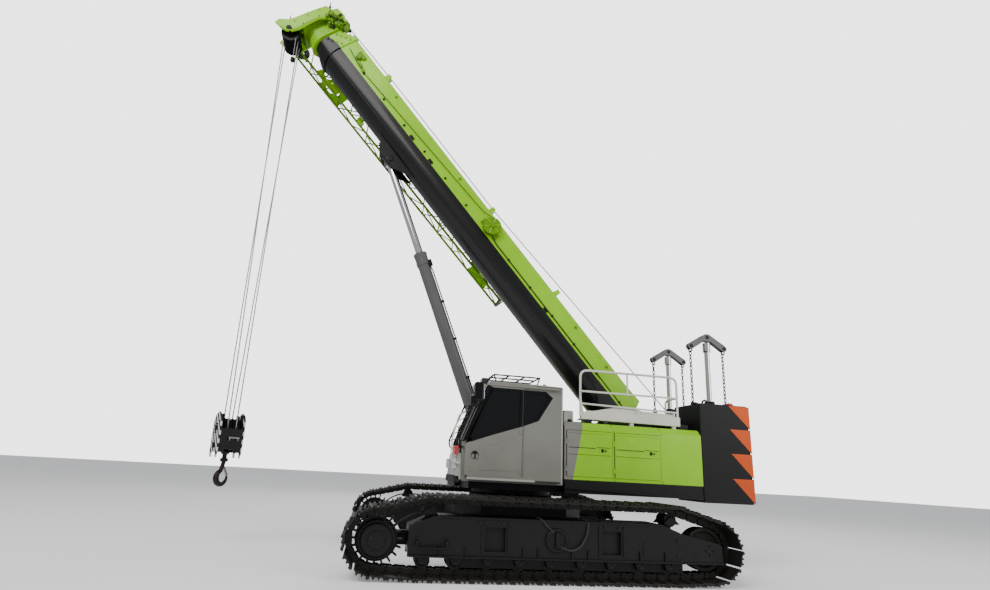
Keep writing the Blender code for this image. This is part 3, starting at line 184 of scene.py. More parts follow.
def plate(outline, low_side, high_side, bevel=0.006, space=MACHINE, axis="Y", segments=2):
    """A flat outline given a thickness along an axis."""
    clear_selection()
    order = {"X": lambda a, b, t: (t, a, b), "Y": lambda a, b, t: (a, t, b), "Z": lambda a, b, t: (a, b, t)}
    bpy.ops.mesh.primitive_circle_add(vertices=len(outline), radius=1, fill_type="NGON")
    obj = bpy.context.active_object
    for vertex, (a, b) in zip(obj.data.vertices, outline):
        vertex.co = order[axis](a, b, low_side)
    bpy.ops.object.mode_set(mode="EDIT")
    bpy.ops.mesh.select_all(action="SELECT")
    step = Vector(order[axis](0, 0, high_side - low_side))
    bpy.ops.mesh.extrude_region_move(TRANSFORM_OT_translate={"value": step})
    bpy.ops.mesh.select_all(action="SELECT")
    bpy.ops.mesh.normals_make_consistent(inside=False)
    bpy.ops.object.mode_set(mode="OBJECT")
    bevelled(obj, bevel, segments)
    return placed(obj, space)


def turned(profile, centre, along, space=MACHINE, sides=32):
    """A round body: (distance, radius) pairs spun about a line."""
    clear_selection()
    bpy.ops.mesh.primitive_circle_add(vertices=max(len(profile), 3), radius=1)
    obj = bpy.context.active_object
    shape = bmesh.new()
    points = [shape.verts.new((radius, 0, distance)) for distance, radius in profile]
    for a, b in zip(points, points[1:]):
        shape.edges.new((a, b))
    shape.to_mesh(obj.data)
    shape.free()
    bpy.ops.object.mode_set(mode="EDIT")
    bpy.ops.mesh.select_all(action="SELECT")
    bpy.ops.mesh.spin(steps=sides, angle=2 * math.pi, center=(0, 0, 0), axis=(0, 0, 1))
    bpy.ops.mesh.select_all(action="SELECT")
    bpy.ops.mesh.remove_doubles(threshold=0.00005)
    bpy.ops.mesh.normals_make_consistent(inside=False)
    bpy.ops.object.mode_set(mode="OBJECT")
    obj.rotation_mode = "QUATERNION"
    obj.rotation_quaternion = Vector(along).to_track_quat("Z", "Y")
    obj.location = centre
    bpy.ops.object.transform_apply(location=True, rotation=True, scale=True)
    return placed(obj, space)


def tube(points, radius, space=MACHINE, sides=10, bend=0.0, closed=False):
    """A round bar along points, its corners rounded to a bend radius."""
    clear_selection()
    curve = bpy.data.curves.new("line", "CURVE")
    curve.dimensions = "3D"
    curve.bevel_depth = radius
    curve.bevel_resolution = max(0, sides // 4 - 1)
    curve.use_fill_caps = True
    spline = curve.splines.new("POLY")
    route = rounded([Vector(p) for p in points], bend) if bend else [Vector(p) for p in points]
    spline.points.add(len(route) - 1)
    for knot, place in zip(spline.points, route):
        knot.co = (*place, 1)
    spline.use_cyclic_u = closed
    obj = bpy.data.objects.new("line", curve)
    bpy.context.scene.collection.objects.link(obj)
    only(obj)
    bpy.ops.object.convert(target="MESH")
    return placed(bpy.context.active_object, space)


def rounded(points, bend, steps=4):
    """A line whose inner corners are replaced with short arcs."""
    made = [points[0]]
    for before, here, after in zip(points, points[1:], points[2:]):
        back, ahead = (before - here), (after - here)
        reach = min(bend, back.length * 0.45, ahead.length * 0.45)
        start, end = here + back.normalized() * reach, here + ahead.normalized() * reach
        for i in range(steps + 1):
            t = i / steps
            made.append((1 - t) ** 2 * start + 2 * t * (1 - t) * here + t * t * end)
    return made + [points[-1]]


def copies(obj, matrices):
    """Copies of one shape, each with its own mesh. The first shape is used up."""
    made = []
    for matrix in matrices:
        other = obj.copy()
        other.data = obj.data.copy()
        other.data.transform(matrix)
        if matrix.determinant() < 0:
            other.data.flip_normals()
        bpy.context.scene.collection.objects.link(other)
        made.append(other)
    bpy.data.objects.remove(obj, do_unlink=True)
    return made


def mirrored(obj):
    """The shape and its twin on the machine's other side."""
    return copies(obj, [Matrix(), Matrix.Scale(-1, 4, (0, 1, 0))])


def joined(name, shapes, finish, smooth=35, body=None):
    """One named piece from several shapes, with one finish."""
    shapes = flat_list(shapes)
    clear_selection()
    for shape in shapes:
        shape.select_set(True)
    bpy.context.view_layer.objects.active = shapes[0]
    if len(shapes) > 1:
        bpy.ops.object.join()
    obj = bpy.context.active_object
    obj.name = name
    obj.data.name = name
    obj.data.materials.clear()
    obj.data.materials.append(MATERIALS[finish])
    only(obj)
    bpy.ops.object.shade_smooth_by_angle(angle=math.radians(smooth))
    applied(obj, "WEIGHTED_NORMAL", keep_sharp=True)
    if body:
        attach(obj, body)
    return obj


def flat_list(shapes):
    made = []
    for shape in shapes if isinstance(shapes, (list, tuple)) else [shapes]:
        made.extend(flat_list(shape) if isinstance(shape, (list, tuple)) else [shape])
    return made


# ---------------------------------------------------------------- finishes
MATERIALS = {}
COLLAR_START = 10.358      # along the boom, where its painted collars begin


def group(name, inputs, outputs):
    """An empty node group. Each input is (name, kind, default) and each output (name, kind)."""
    tree = bpy.data.node_groups.new(name, "ShaderNodeTree")
    for label, kind, value in inputs:
        socket = tree.interface.new_socket(label, in_out="INPUT", socket_type=kind)
        socket.default_value = value
    for label, kind in outputs:
        tree.interface.new_socket(label, in_out="OUTPUT", socket_type=kind)
    tree.nodes.new("NodeGroupInput").name = "in"
    tree.nodes.new("NodeGroupOutput").name = "out"
    return tree


def node(tree, kind, links=None, **values):
    """Adds a node. links are {input: (node, output)}, and other values are inputs or settings."""
    made = tree.nodes.new(kind)
    for name, value in values.items():
        setattr(made, name, value)
    for name, source in (links or {}).items():
        if isinstance(source, tuple) and isinstance(source[0], bpy.types.Node):
            tree.links.new(source[0].outputs[source[1]], made.inputs[name])
        else:
            made.inputs[name].default_value = source
    return made


def maths(tree, operation, a, b):
    return node(tree, "ShaderNodeMath", {0: a, 1: b}, operation=operation)


def mixed(tree, factor, a, b):
    """Mixes two colours."""
    return node(tree, "ShaderNodeMix", {0: factor, 6: a, 7: b}, data_type="RGBA")


def weathering_group():
    """Fine orange peel, broad fading, dust low down and small scuffs, on any painted or bare metal."""
    tree = group("Weathering", (
        ("Paint", "NodeSocketColor", (0.5, 0.5, 0.5, 1)),
        ("Dust", "NodeSocketFloat", 0.3),
        ("Scuffs", "NodeSocketFloat", 0.3),
        ("Roughness", "NodeSocketFloat", 0.35),
        ("Grain", "NodeSocketFloat", 60.0),
    ), (("Colour", "NodeSocketColor"), ("Roughness", "NodeSocketFloat"), ("Height", "NodeSocketFloat")))
    given, out = tree.nodes["in"], tree.nodes["out"]
    place = node(tree, "ShaderNodeTexCoord")
    at = (place, "Object")
    broad = node(tree, "ShaderNodeTexNoise", {"Vector": at, "Scale": 0.9, "Detail": 5.0, "Roughness": 0.6})
    streaked = node(tree, "ShaderNodeMapping", {"Vector": at, "Scale": (9.0, 9.0, 0.7)})
    streaks = node(tree, "ShaderNodeTexNoise", {"Vector": (streaked, 0), "Scale": 1.0, "Detail": 6.0,
                                                "Roughness": 0.7})
    scuffing = node(tree, "ShaderNodeTexNoise", {"Vector": at, "Scale": 11.0, "Detail": 8.0,
                                                 "Roughness": 0.72})
    scuffs = node(tree, "ShaderNodeMapRange", {"Value": (scuffing, 0), "From Min": 0.60, "From Max": 0.70})
    scuffs = maths(tree, "MULTIPLY", (scuffs, 0), (given, "Scuffs"))
    faded = node(tree, "ShaderNodeMapRange", {"Value": (broad, 0), "From Min": 0.3, "From Max": 0.7,
                                              "To Min": 0.86, "To Max": 1.10})
    toned = node(tree, "ShaderNodeVectorMath", {0: (given, "Paint"), "Scale": (faded, 0)},
                 operation="SCALE")
    height = node(tree, "ShaderNodeSeparateXYZ", {0: at})
    lower = node(tree, "ShaderNodeMapRange", {"Value": (height, "Z"), "From Min": 2.2, "From Max": 0.0})
    settled = maths(tree, "MULTIPLY_ADD", (streaks, 0), (lower, 0))
    settled.inputs[2].default_value = 0.12
    dust = maths(tree, "MULTIPLY", (settled, 0), (given, "Dust"))
    dusty = mixed(tree, (dust, 0), (toned, 0), (0.23, 0.21, 0.18, 1))
    worn = mixed(tree, (scuffs, 0), (dusty, 2), (0.13, 0.125, 0.12, 1))
    tree.links.new(worn.outputs[2], out.inputs["Colour"])
    rough = maths(tree, "MULTIPLY_ADD", (dust, 0), 0.55)
    tree.links.new(given.outputs["Roughness"], rough.inputs[2])
    tree.links.new(rough.outputs[0], out.inputs["Roughness"])
    peel = node(tree, "ShaderNodeTexNoise", {"Vector": at, "Scale": (given, "Grain"), "Detail": 3.0})
    bumps = maths(tree, "MULTIPLY_ADD", (scuffing, 0), 0.35)
    tree.links.new(peel.outputs[0], bumps.inputs[2])
    tree.links.new(bumps.outputs[0], out.inputs["Height"])
    return tree


SHINE = 0.22            # reflections are kept low, so that dark paint reads dark under the soft light


def principled(name):
    """A new material: its tree and its Principled shader."""
    material = bpy.data.materials.new(name)
    material.use_nodes = True
    MATERIALS[name] = material
    return material.node_tree, material.node_tree.nodes["Principled BSDF"]


def set_values(shader, **values):
    for name, value in values.items():
        shader.inputs[name.replace("_", " ")].default_value = value


def weathered(name, paint, dust=0.3, scuffs=0.3, roughness=0.35, grain=60.0, bump=0.05, metallic=0.0,
              coat=0.0):
    """A weathered finish. paint is a colour or a (node, output) made by paint(tree)."""
    tree, shader = principled(name)
    source = paint(tree) if callable(paint) else (*paint, 1)
    finish = node(tree, "ShaderNodeGroup", node_tree=bpy.data.node_groups["Weathering"])
    for label, value in (("Dust", dust), ("Scuffs", scuffs), ("Roughness", roughness), ("Grain", grain)):
        finish.inputs[label].default_value = value
    if isinstance(source[0], bpy.types.Node):
        tree.links.new(source[0].outputs[source[1]], finish.inputs["Paint"])
    else:
        finish.inputs["Paint"].default_value = source
    relief = node(tree, "ShaderNodeBump", {"Height": (finish, "Height"), "Strength": bump,
                                           "Distance": 0.01})
    tree.links.new(finish.outputs["Colour"], shader.inputs["Base Color"])
    tree.links.new(finish.outputs["Roughness"], shader.inputs["Roughness"])
    tree.links.new(relief.outputs[0], shader.inputs["Normal"])
    set_values(shader, Metallic=metallic, Coat_Weight=coat, Coat_Roughness=0.12, Specular_IOR_Level=SHINE)
    return MATERIALS[name]


def above_line(tree, direction, origin, upper, lower, soft=0.0015):
    """One colour on the far side of a plane, and another on its near side."""
    place = node(tree, "ShaderNodeTexCoord")
    along = node(tree, "ShaderNodeVectorMath", {0: (place, "Object"), 1: tuple(direction)},
                 operation="DOT_PRODUCT")
    level = Vector(direction).dot(Vector(origin))
    side = node(tree, "ShaderNodeMapRange", {"Value": (along, "Value"), "From Min": level - soft,
                                             "From Max": level + soft})
    return (mixed(tree, (side, 0), (*lower, 1), (*upper, 1)), 2)


def boom_colours(tree, lime, dark):
    """Lime over dark along the boom, and lime all round its collars."""
    split, level = above_line(tree, BOOM_UP, BOOM_FOOT + 0.012 * BOOM_UP, lime, dark)
    place = node(tree, "ShaderNodeTexCoord")
    along = node(tree, "ShaderNodeVectorMath", {0: (place, "Object"), 1: tuple(BOOM_ALONG)},
                 operation="DOT_PRODUCT")
    collars = maths(tree, "GREATER_THAN", (along, "Value"), BOOM_ALONG.dot(BOOM_FOOT) + COLLAR_START)
    return (mixed(tree, (collars, 0), (split, level), (*lime, 1)), 2)


def striped(tree, direction, width, light, dark):
    """Diagonal warning stripes across a direction."""
    place = node(tree, "ShaderNodeTexCoord")
    along = node(tree, "ShaderNodeVectorMath", {0: (place, "Object"), 1: tuple(direction)},
                 operation="DOT_PRODUCT")
    turns = maths(tree, "DIVIDE", (along, "Value"), 2 * width)
    part = maths(tree, "FRACT", (turns, 0), 0.0)
    side = maths(tree, "GREATER_THAN", (part, 0), 0.5)
    return (mixed(tree, (side, 0), (*light, 1), (*dark, 1)), 2)


def strands(name, colour, roughness, pitch, metallic):
    """Wire rope: twisted strands shown by slanting bands in height, the colour darkened in the grooves
    between strands as painted shade.
    """
    tree, shader = principled(name)
    place = node(tree, "ShaderNodeTexCoord")
    bands = node(tree, "ShaderNodeTexWave", {"Vector": (place, "Object"), "Scale": 1 / pitch,
                                             "Distortion": 0.4},
                 bands_direction="DIAGONAL")
    # darker colour low in each band: painted shade between the strands
    tint = mixed(tree, (bands, 1), (*[v * 0.45 for v in colour], 1), (*colour, 1))
    relief = node(tree, "ShaderNodeBump", {"Height": (bands, 1), "Strength": 0.5, "Distance": 0.002})
    tree.links.new(tint.outputs[2], shader.inputs["Base Color"])
    tree.links.new(relief.outputs[0], shader.inputs["Normal"])
    set_values(shader, Roughness=roughness, Metallic=metallic)


def chequer(name, colour):
    """Raised tread plate on walkways and steps."""
    tree, shader = principled(name)
    place = node(tree, "ShaderNodeTexCoord")
    turn = node(tree, "ShaderNodeMapping", {"Vector": (place, "Object"),
                                            "Rotation": (0, 0, math.radians(45))})
    bars = node(tree, "ShaderNodeTexBrick", {"Vector": (turn, 0), "Scale": 22.0, "Mortar Size": 0.035,
                                             "Color1": (1, 1, 1, 1), "Color2": (0.8, 0.8, 0.8, 1),
                                             "Mortar": (0, 0, 0, 1)})
    grime = node(tree, "ShaderNodeTexNoise", {"Vector": (place, "Object"), "Scale": 5.0, "Detail": 7.0})
    tint = mixed(tree, (grime, 0), (*[v * 0.55 for v in colour], 1), (*colour, 1))
    relief = node(tree, "ShaderNodeBump", {"Height": (bars, 0), "Strength": 0.6, "Distance": 0.003})
    tree.links.new(tint.outputs[2], shader.inputs["Base Color"])
    tree.links.new(relief.outputs[0], shader.inputs["Normal"])
    set_values(shader, Roughness=0.55, Metallic=0.3)


def glass(name, tint, roughness):
    """Toned cab glass with a faint smear of dust."""
    tree, shader = principled(name)
    place = node(tree, "ShaderNodeTexCoord")
    smear = node(tree, "ShaderNodeTexNoise", {"Vector": (place, "Object"), "Scale": 3.0, "Detail": 6.0})
    rough = node(tree, "ShaderNodeMapRange", {"Value": (smear, 0), "To Min": roughness,
                                              "To Max": roughness + 0.10})
    tone = mixed(tree, (smear, 0), (*tint, 1), (*[v * 1.5 for v in tint], 1))
    tree.links.new(tone.outputs[2], shader.inputs["Base Color"])
    tree.links.new(rough.outputs[0], shader.inputs["Roughness"])
    set_values(shader, Transmission_Weight=0.35, IOR=1.45, Specular_IOR_Level=0.35)


def lamp(name, colour):
    """A moulded lamp lens with fine ribs, the colour darkened in the hollows between ribs as painted shade.
    """
    tree, shader = principled(name)
    place = node(tree, "ShaderNodeTexCoord")
    ribs = node(tree, "ShaderNodeTexWave", {"Vector": (place, "Object"), "Scale": 40.0},
                bands_direction="Z")
    # darker colour in the hollows of the ribs: painted shade
    tone = mixed(tree, (ribs, 1), (*[v * 0.7 for v in colour], 1), (*colour, 1))
    relief = node(tree, "ShaderNodeBump", {"Height": (ribs, 1), "Strength": 0.4, "Distance": 0.002})
    tree.links.new(tone.outputs[2], shader.inputs["Base Color"])
    tree.links.new(relief.outputs[0], shader.inputs["Normal"])
    set_values(shader, Roughness=0.18, Coat_Weight=0.6)


def make_finishes(paint):
    """Every finish on the machine."""
    weathering_group()
    lime, grey, dark = tuple(paint.lime), tuple(paint.grey), tuple(paint.dark)
    border = Vector((0.98, 0, 0.20)).normalized()
    weathered("boom_paint", lambda tree: boom_colours(tree, lime, dark), 0.03, 0.06, 0.36, 90, 0.03,
              coat=0.25)
    weathered("hood_paint", lambda tree: above_line(tree, border, MACHINE @ Vector((-0.775, 0, 1.908)),
                                                    grey, lime),
              0.04, 0.05, 0.36, 90, 0.03, coat=0.25)
    weathered("barrel_grey", (0.10, 0.10, 0.10), 0.05, 0.10, 0.36, 90, 0.03)
    weathered("hook_steel", (0.022, 0.016, 0.015), 0.03, 0.45, 0.36, 40, 0.15, metallic=0.6)
    weathered("yoke_grey", (0.13, 0.13, 0.13), 0.06, 0.10, 0.40, 90, 0.03)
    weathered("chain_steel", (0.02, 0.02, 0.02), 0.05, 0.35, 0.38, 60, 0.1, metallic=0.6)
    weathered("lime_paint", lime, 0.04, 0.05, 0.36, 90, 0.03, coat=0.25)
    # lime_painted_shade is the lime paint darkened to 0.42 of its colour: painted shade for parts set back
    # in shade, such as the nose core, reel, fittings and jib
    weathered("lime_painted_shade", tuple(v * 0.42 for v in lime), 0.05, 0.08, 0.42, 90, 0.03)
    weathered("grey_paint", grey, 0.07, 0.08, 0.38, 90, 0.03, coat=0.15)
    weathered("dark_paint", dark, 0.02, 0.05, 0.42, 70, 0.05)
    weathered("track_steel", (0.012, 0.0115, 0.011), 0.10, 0.35, 0.46, 26, 0.35, metallic=0.35)
    weathered("frame_paint", (0.004, 0.004, 0.0045), 0.03, 0.05, 0.45, 60, 0.08)
    weathered("bare_steel", (0.32, 0.32, 0.31), 0.12, 0.35, 0.32, 120, 0.05, metallic=0.9)
    weathered("chrome", (0.78, 0.79, 0.80), 0.02, 0.02, 0.10, 200, 0.01, metallic=1.0)
    weathered("rail_paint", tuple(paint.rail), 0.14, 0.10, 0.40, 80, 0.03)
    weathered("orange_paint", tuple(paint.orange), 0.15, 0.15, 0.40, 80, 0.03)
    weathered("rubber", (0.012, 0.012, 0.012), 0.25, 0.1, 0.62, 140, 0.10)
    weathered("plastic", (0.028, 0.028, 0.030), 0.15, 0.1, 0.50, 160, 0.08)
    weathered("yellow_zinc", (0.45, 0.33, 0.12), 0.10, 0.2, 0.35, 120, 0.03, metallic=0.8)
    weathered("gloss_black", (0.003, 0.003, 0.0035), 0.01, 0.02, 0.16, 200, 0.01, coat=0.2)
    weathered("light_grey", (0.40, 0.40, 0.37), 0.10, 0.10, 0.38, 90, 0.03)
    weathered("mirror_glass", (0.75, 0.77, 0.80), 0.01, 0.01, 0.04, 200, 0.0, metallic=1.0)
    weathered("white_paint", (0.72, 0.72, 0.70), 0.12, 0.15, 0.40, 90, 0.03)
    weathered("seat_cloth", (0.035, 0.037, 0.042), 0.10, 0.0, 0.85, 420, 0.5)
    stripe = Vector((-0.34, 0.62, 0.70)).normalized()
    weathered("warning_stripes", lambda tree: striped(tree, stripe, 0.052, (0.72, 0.72, 0.68),
                                                      (0.012, 0.012, 0.013)),
              0.15, 0.3, 0.40, 90, 0.03)
    strands("wire_rope", (0.42, 0.41, 0.40), 0.42, 0.03, 0.35)
    chequer("tread_plate", (0.42, 0.41, 0.37))
    glass("cab_glass", (0.004, 0.005, 0.006), 0.03)
    lamp("red_lens", (0.62, 0.02, 0.012))
    lamp("amber_lens", (0.75, 0.23, 0.01))
    lamp("clear_lens", (0.75, 0.76, 0.78))


# the finish of each node that shows as it is
NODE_FINISHES = {
    "boom_paint": ("boom_base", "boom_section_2", "boom_section_3", "boom_section_4", "boom_section_5"),
    "hood_paint": ("left_housing", "left_hood_door_front", "left_hood_door_rear"),
    "lime_paint": ("right_housing", "right_hood_door_front", "right_hood_door_rear", "boom_head"),
    "grey_paint": ("cab_body", "cab_door", "lift_mast_l", "lift_mast_r"),
    "dark_paint": ("revolving_frame", "counterweight", "luffing_cylinder", "head_sheaves", "top_sheave",
                   "winch_drum_rear", "winch_drum_front", "stowed_jib", "roof_guard", "hook_block",
                   "engine"),
    "frame_paint": ("car_body", "slew_ring", "track_frame_l", "track_frame_r"),
    "track_steel": ("track_l", "track_r", "drive_sprocket_l", "drive_sprocket_r", "idler_l", "idler_r",
                    "track_rollers_l", "track_rollers_r", "hook"),
    "bare_steel": ("boom_foot_pin", "luffing_foot_pin"),
    "chrome": ("luffing_rod", "lift_cylinder_l", "lift_cylinder_r"),
    "cab_glass": ("windscreen", "quarter_glass", "side_glass", "door_glass"),
    "rail_paint": ("handrail",),
    "wire_rope": ("hoist_rope_1", "hoist_rope_2", "hoist_rope_3", "hoist_rope_4"),
    "seat_cloth": ("operator_seat",),
}
# nodes whose edges are broken, with the width of the bevel
BROKEN_EDGES = {
    "left_housing": 0.010, "right_housing": 0.010, "left_hood_door_front": 0.006,
    "left_hood_door_rear": 0.006,
    "right_hood_door_front": 0.006, "right_hood_door_rear": 0.006, "cab_body": 0.014, "cab_door": 0.008,
    "revolving_frame": 0.010, "counterweight": 0.022, "lift_mast_l": 0.010, "lift_mast_r": 0.010,
    "boom_base": 0.010, "boom_section_2": 0.006, "boom_section_3": 0.006, "boom_section_4": 0.006,
    "boom_section_5": 0.006, "car_body": 0.012, "track_frame_l": 0.012,
    "track_frame_r": 0.012, "slew_ring": 0.010, "engine": 0.02, "handrail": 0.002,
}
SHOWN_OTHERWISE = {"track_l", "track_r", "drive_sprocket_l", "drive_sprocket_r", "idler_l", "idler_r",
                   "track_rollers_l", "track_rollers_r", "luffing_cylinder", "luffing_rod",
                   "luffing_piston",
                   "head_sheaves", "top_sheave", "stowed_jib", "hook_block", "hook", "winch_drum_rear",
                   "winch_drum_front", "handrail", "hoist_rope_1", "hoist_rope_2", "hoist_rope_3",
                   "hoist_rope_4", "operator_seat", "lift_cylinder_l", "lift_cylinder_r",
                   "lift_mast_l", "lift_mast_r", "roof_guard", "boom_head"}


def finished_copy(node_name, finish, bevel):
    """A copy of a frame piece with its faces merged and its edges broken, standing in for it."""
    obj = frame["nodes"][node_name].copy()
    obj.data = obj.data.copy()
    obj.parent = None
    obj.matrix_world = Matrix()
    bpy.context.scene.collection.objects.link(obj)
    only(obj)
    bpy.ops.object.mode_set(mode="EDIT")
    bpy.ops.mesh.select_all(action="SELECT")
    bpy.ops.mesh.remove_doubles(threshold=0.00005)
    bpy.ops.mesh.dissolve_limited(angle_limit=math.radians(1.0))
    bpy.ops.object.mode_set(mode="OBJECT")
    bevelled(obj, bevel, 2, 28)
    made = joined(node_name + "_finished", obj, finish, 32, BODY_OF[node_name])
    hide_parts(node_name)
    return made


BODY_OF = {name: body for body, names in frame["record"]["behaviour"]["bodies"].items() for name in names}


class FinishFrame(bpy.types.Operator):
    """Gives every piece of the frame its finish, and breaks the edges of its plates"""

    bl_idname = "crane.finish_frame"
    bl_label = "Finish the frame"

    def execute(self, context):
        make_finishes(context.scene.crane_paint)
        for finish, names in NODE_FINISHES.items():
            for name in names:
                if name in SHOWN_OTHERWISE:
                    frame["nodes"][name].data.materials.clear()
                    frame["nodes"][name].data.materials.append(MATERIALS[finish])
                elif name in BROKEN_EDGES:
                    finished_copy(name, finish, BROKEN_EDGES[name])
                else:
                    frame["nodes"][name].data.materials.clear()
                    frame["nodes"][name].data.materials.append(MATERIALS[finish])
        return {"FINISHED"}


CAMERA_AT = Vector((2.04504, 10.17193, 1.49568))
CAMERA_AXES = ((-0.98277, 0.17726, 0.05232), (0.09387, 0.23487, 0.96748), (0.1592, 0.95573, -0.24747))
LENS = 19.2586
SHIFT = (0.02658, 0.03933)


def area_light(name, at, towards, size, power, colour=(1, 1, 1)):
    clear_selection()
    bpy.ops.object.light_add(type="AREA", location=at)
    light = bpy.context.active_object
    light.name = name
    light.data.size = size
    light.data.energy = power
    light.data.color = colour
    light.rotation_euler = (Vector(towards) - Vector(at)).to_track_quat("-Z", "Y").to_euler()


def light_sky(tree):
    """An even pale backdrop that looks brighter than the light it gives."""
    glow = tree.nodes["Background"]
    set_values(glow, Color=(0.93, 0.96, 1.0, 1), Strength=0.42)
    backdrop = node(tree, "ShaderNodeBackground", {"Color": (1.0, 1.0, 1.0, 1), "Strength": 3.2})
    seen = node(tree, "ShaderNodeLightPath")
    both = node(tree, "ShaderNodeMixShader", {0: (seen, "Is Camera Ray"), 1: (glow, 0), 2: (backdrop, 0)})
    tree.links.new(both.outputs[0], tree.nodes["World Output"].inputs["Surface"])


FLOOR_SIDE = 160
FAR_CLIP = 400
# name, place, what it points at, side, power and colour
LIGHTS = (("key_light", (10, 14, 17), (0, 0, 3), 12, 3000, (1, 0.98, 0.94)),
          ("fill_light", (-14, 12, 9), (-1, 0, 3), 12, 1300),
          ("back_light", (-4, -14, 12), (0, 0, 4), 12, 900))


class SetStage(bpy.types.Operator):
    """Lays the pale floor, hangs the soft lights and sets the camera"""

    bl_idname = "crane.set_stage"
    bl_label = "Set the stage"

    def execute(self, context):
        shader = principled("studio_floor")[1]
        set_values(shader, Base_Color=(0.92, 0.92, 0.92, 1), Roughness=0.9,
                   Emission_Color=(1, 1, 1, 1), Emission_Strength=0.22)
        clear_selection()
        bpy.ops.mesh.primitive_plane_add(size=FLOOR_SIDE, location=(0, 0, 0))
        floor = bpy.context.active_object
        floor.name = "studio_floor"
        floor.data.materials.append(MATERIALS["studio_floor"])
        world = bpy.data.worlds.new("Studio")
        world.use_nodes = True
        light_sky(world.node_tree)
        context.scene.world = world
        for light in LIGHTS:
            area_light(*light)
        camera = bpy.data.cameras.new("camera")
        camera.lens = LENS
        camera.shift_x, camera.shift_y = SHIFT
        camera.clip_end = FAR_CLIP
        holder = bpy.data.objects.new("camera", camera)
        holder.matrix_world = Matrix.Translation(CAMERA_AT) @ Matrix(CAMERA_AXES).transposed().to_4x4()
        context.scene.collection.objects.link(holder)
        context.scene.camera = holder
        return {"FINISHED"}


# ---------------------------------------------------------------- tracks
TRACK_Y = 2.20
END_WHEEL = (2.48, 0.50, 0.325)     # how far along, height and radius inside the chain
CARRIERS = (1.77, -1.92)
CARRIER_Z = 0.905
CARRIER_RADIUS = 0.09
ROLLER_Z = 0.245
ROLLER_RADIUS = 0.10
ROLLER_REACH = 1.95
ROLLER_COUNT = 9
SHOE_HALF = 0.398
FRAME_FACE_Y = 2.45


def chain_line():
    """Corners of the chain's inner line round the wheels: (x, z, radius), anticlockwise."""
    x, z, radius = END_WHEEL
    return [(x, z, radius), (CARRIERS[0], CARRIER_Z, CARRIER_RADIUS),
            (CARRIERS[1], CARRIER_Z, CARRIER_RADIUS), (-x, z, radius),
            (-ROLLER_REACH, ROLLER_Z, ROLLER_RADIUS), (ROLLER_REACH, ROLLER_Z, ROLLER_RADIUS)]


def along_belt(circles, share):
    """The point at a share of a belt's length round circles, and the way out from it."""
    pairs = list(zip(circles, circles[1:] + circles[:1]))
    outs = [math.atan2(b[1] - a[1], b[0] - a[0]) - math.acos((a[2] - b[2]) / math.dist(a[:2], b[:2]))
            for a, b in pairs]
    stretches = []
    for i, ((x, z, radius), (x2, z2, radius2)) in enumerate(pairs):
        stretches.append((radius * ((outs[i] - outs[i - 1]) % math.tau), (x, z, radius, outs[i - 1])))
        first = Vector((x + radius * math.cos(outs[i]), z + radius * math.sin(outs[i])))
        last = Vector((x2 + radius2 * math.cos(outs[i]), z2 + radius2 * math.sin(outs[i])))
        stretches.append(((last - first).length, (first, last, outs[i])))
    left = share % 1 * sum(length for length, _ in stretches)
    for length, place in stretches:
        if left <= length:
            break
        left -= length
    if len(place) == 4:
        x, z, radius, start = place
        out = start + left / radius
        return Vector((x + radius * math.cos(out), z + radius * math.sin(out))), out
    first, last, out = place
    return first.lerp(last, left / length), out


def shoe_frame(share, side):
    """Where a shoe sits: its own X runs along the chain and its Z points out of the loop."""
    point, out = along_belt(chain_line(), share)
    out_way = Vector((math.cos(out), 0, math.sin(out)))
    turn = Matrix((Vector((out_way.z, 0, -out_way.x)), Vector((0, 1, 0)), out_way)).transposed().to_4x4()
    return MACHINE @ Matrix.Translation((point.x, side * TRACK_Y, point.y)) @ turn


def shoe_shapes(pitch):
    """A pressed shoe with three grousers, in its own frame."""
    half = pitch / 2 - 0.003
    ribs = [(-half - 0.034, 0.080), (-half - 0.034, 0.092), (-half, 0.112), (-half + 0.014, 0.143),
            (-half + 0.026, 0.143), (-half + 0.040, 0.112), (-0.016, 0.108), (-0.006, 0.136),
            (0.006, 0.136), (0.016, 0.108), (half - 0.040, 0.110), (half - 0.026, 0.140),
            (half - 0.010, 0.140), (half + 0.014, 0.122), (half + 0.014, 0.104), (half - 0.03, 0.094)]
    return plate(ribs, -SHOE_HALF, SHOE_HALF, 0.0, HERE)


def link_shapes(pitch):
    """The two chain links under a shoe and the pin through them."""
    reach = pitch / 2
    side = [(-reach - 0.018, 0.022), (-reach + 0.005, 0.004), (-0.03, 0.002), (0.0, 0.018), (0.03, 0.002),
            (reach - 0.005, 0.004), (reach + 0.012, 0.022), (reach + 0.012, 0.070), (reach - 0.02, 0.089),
            (-reach + 0.02, 0.089), (-reach - 0.018, 0.070)]
    shapes = [plate(side, y - 0.016, y + 0.016, 0.0, HERE) for y in (-0.092, 0.092)]
    shapes.append(rod((-reach, -0.122, 0.045), (-reach, 0.122, 0.045), 0.021, 0, HERE, 10))
    shapes += [rod((x, y, 0.106), (x, y, 0.124), 0.015, 0, HERE, 6) for x in (-0.032, 0.032)
               for y in (-0.13, 0.13)]
    return shapes


def gear_outline(teeth, root, tip, share=0.30):
    """A sprocket's outline: flat-topped teeth with sloping flanks."""
    points = []
    step = math.tau / teeth
    for i in range(teeth):
        for turn, radius in ((-0.5 + share / 2, root), (-share / 2, root), (-share / 3, tip),
                             (share / 3, tip), (share / 2, root)):
            angle = (i + turn) * step
            points.append((radius * math.cos(angle), radius * math.sin(angle)))
    return points


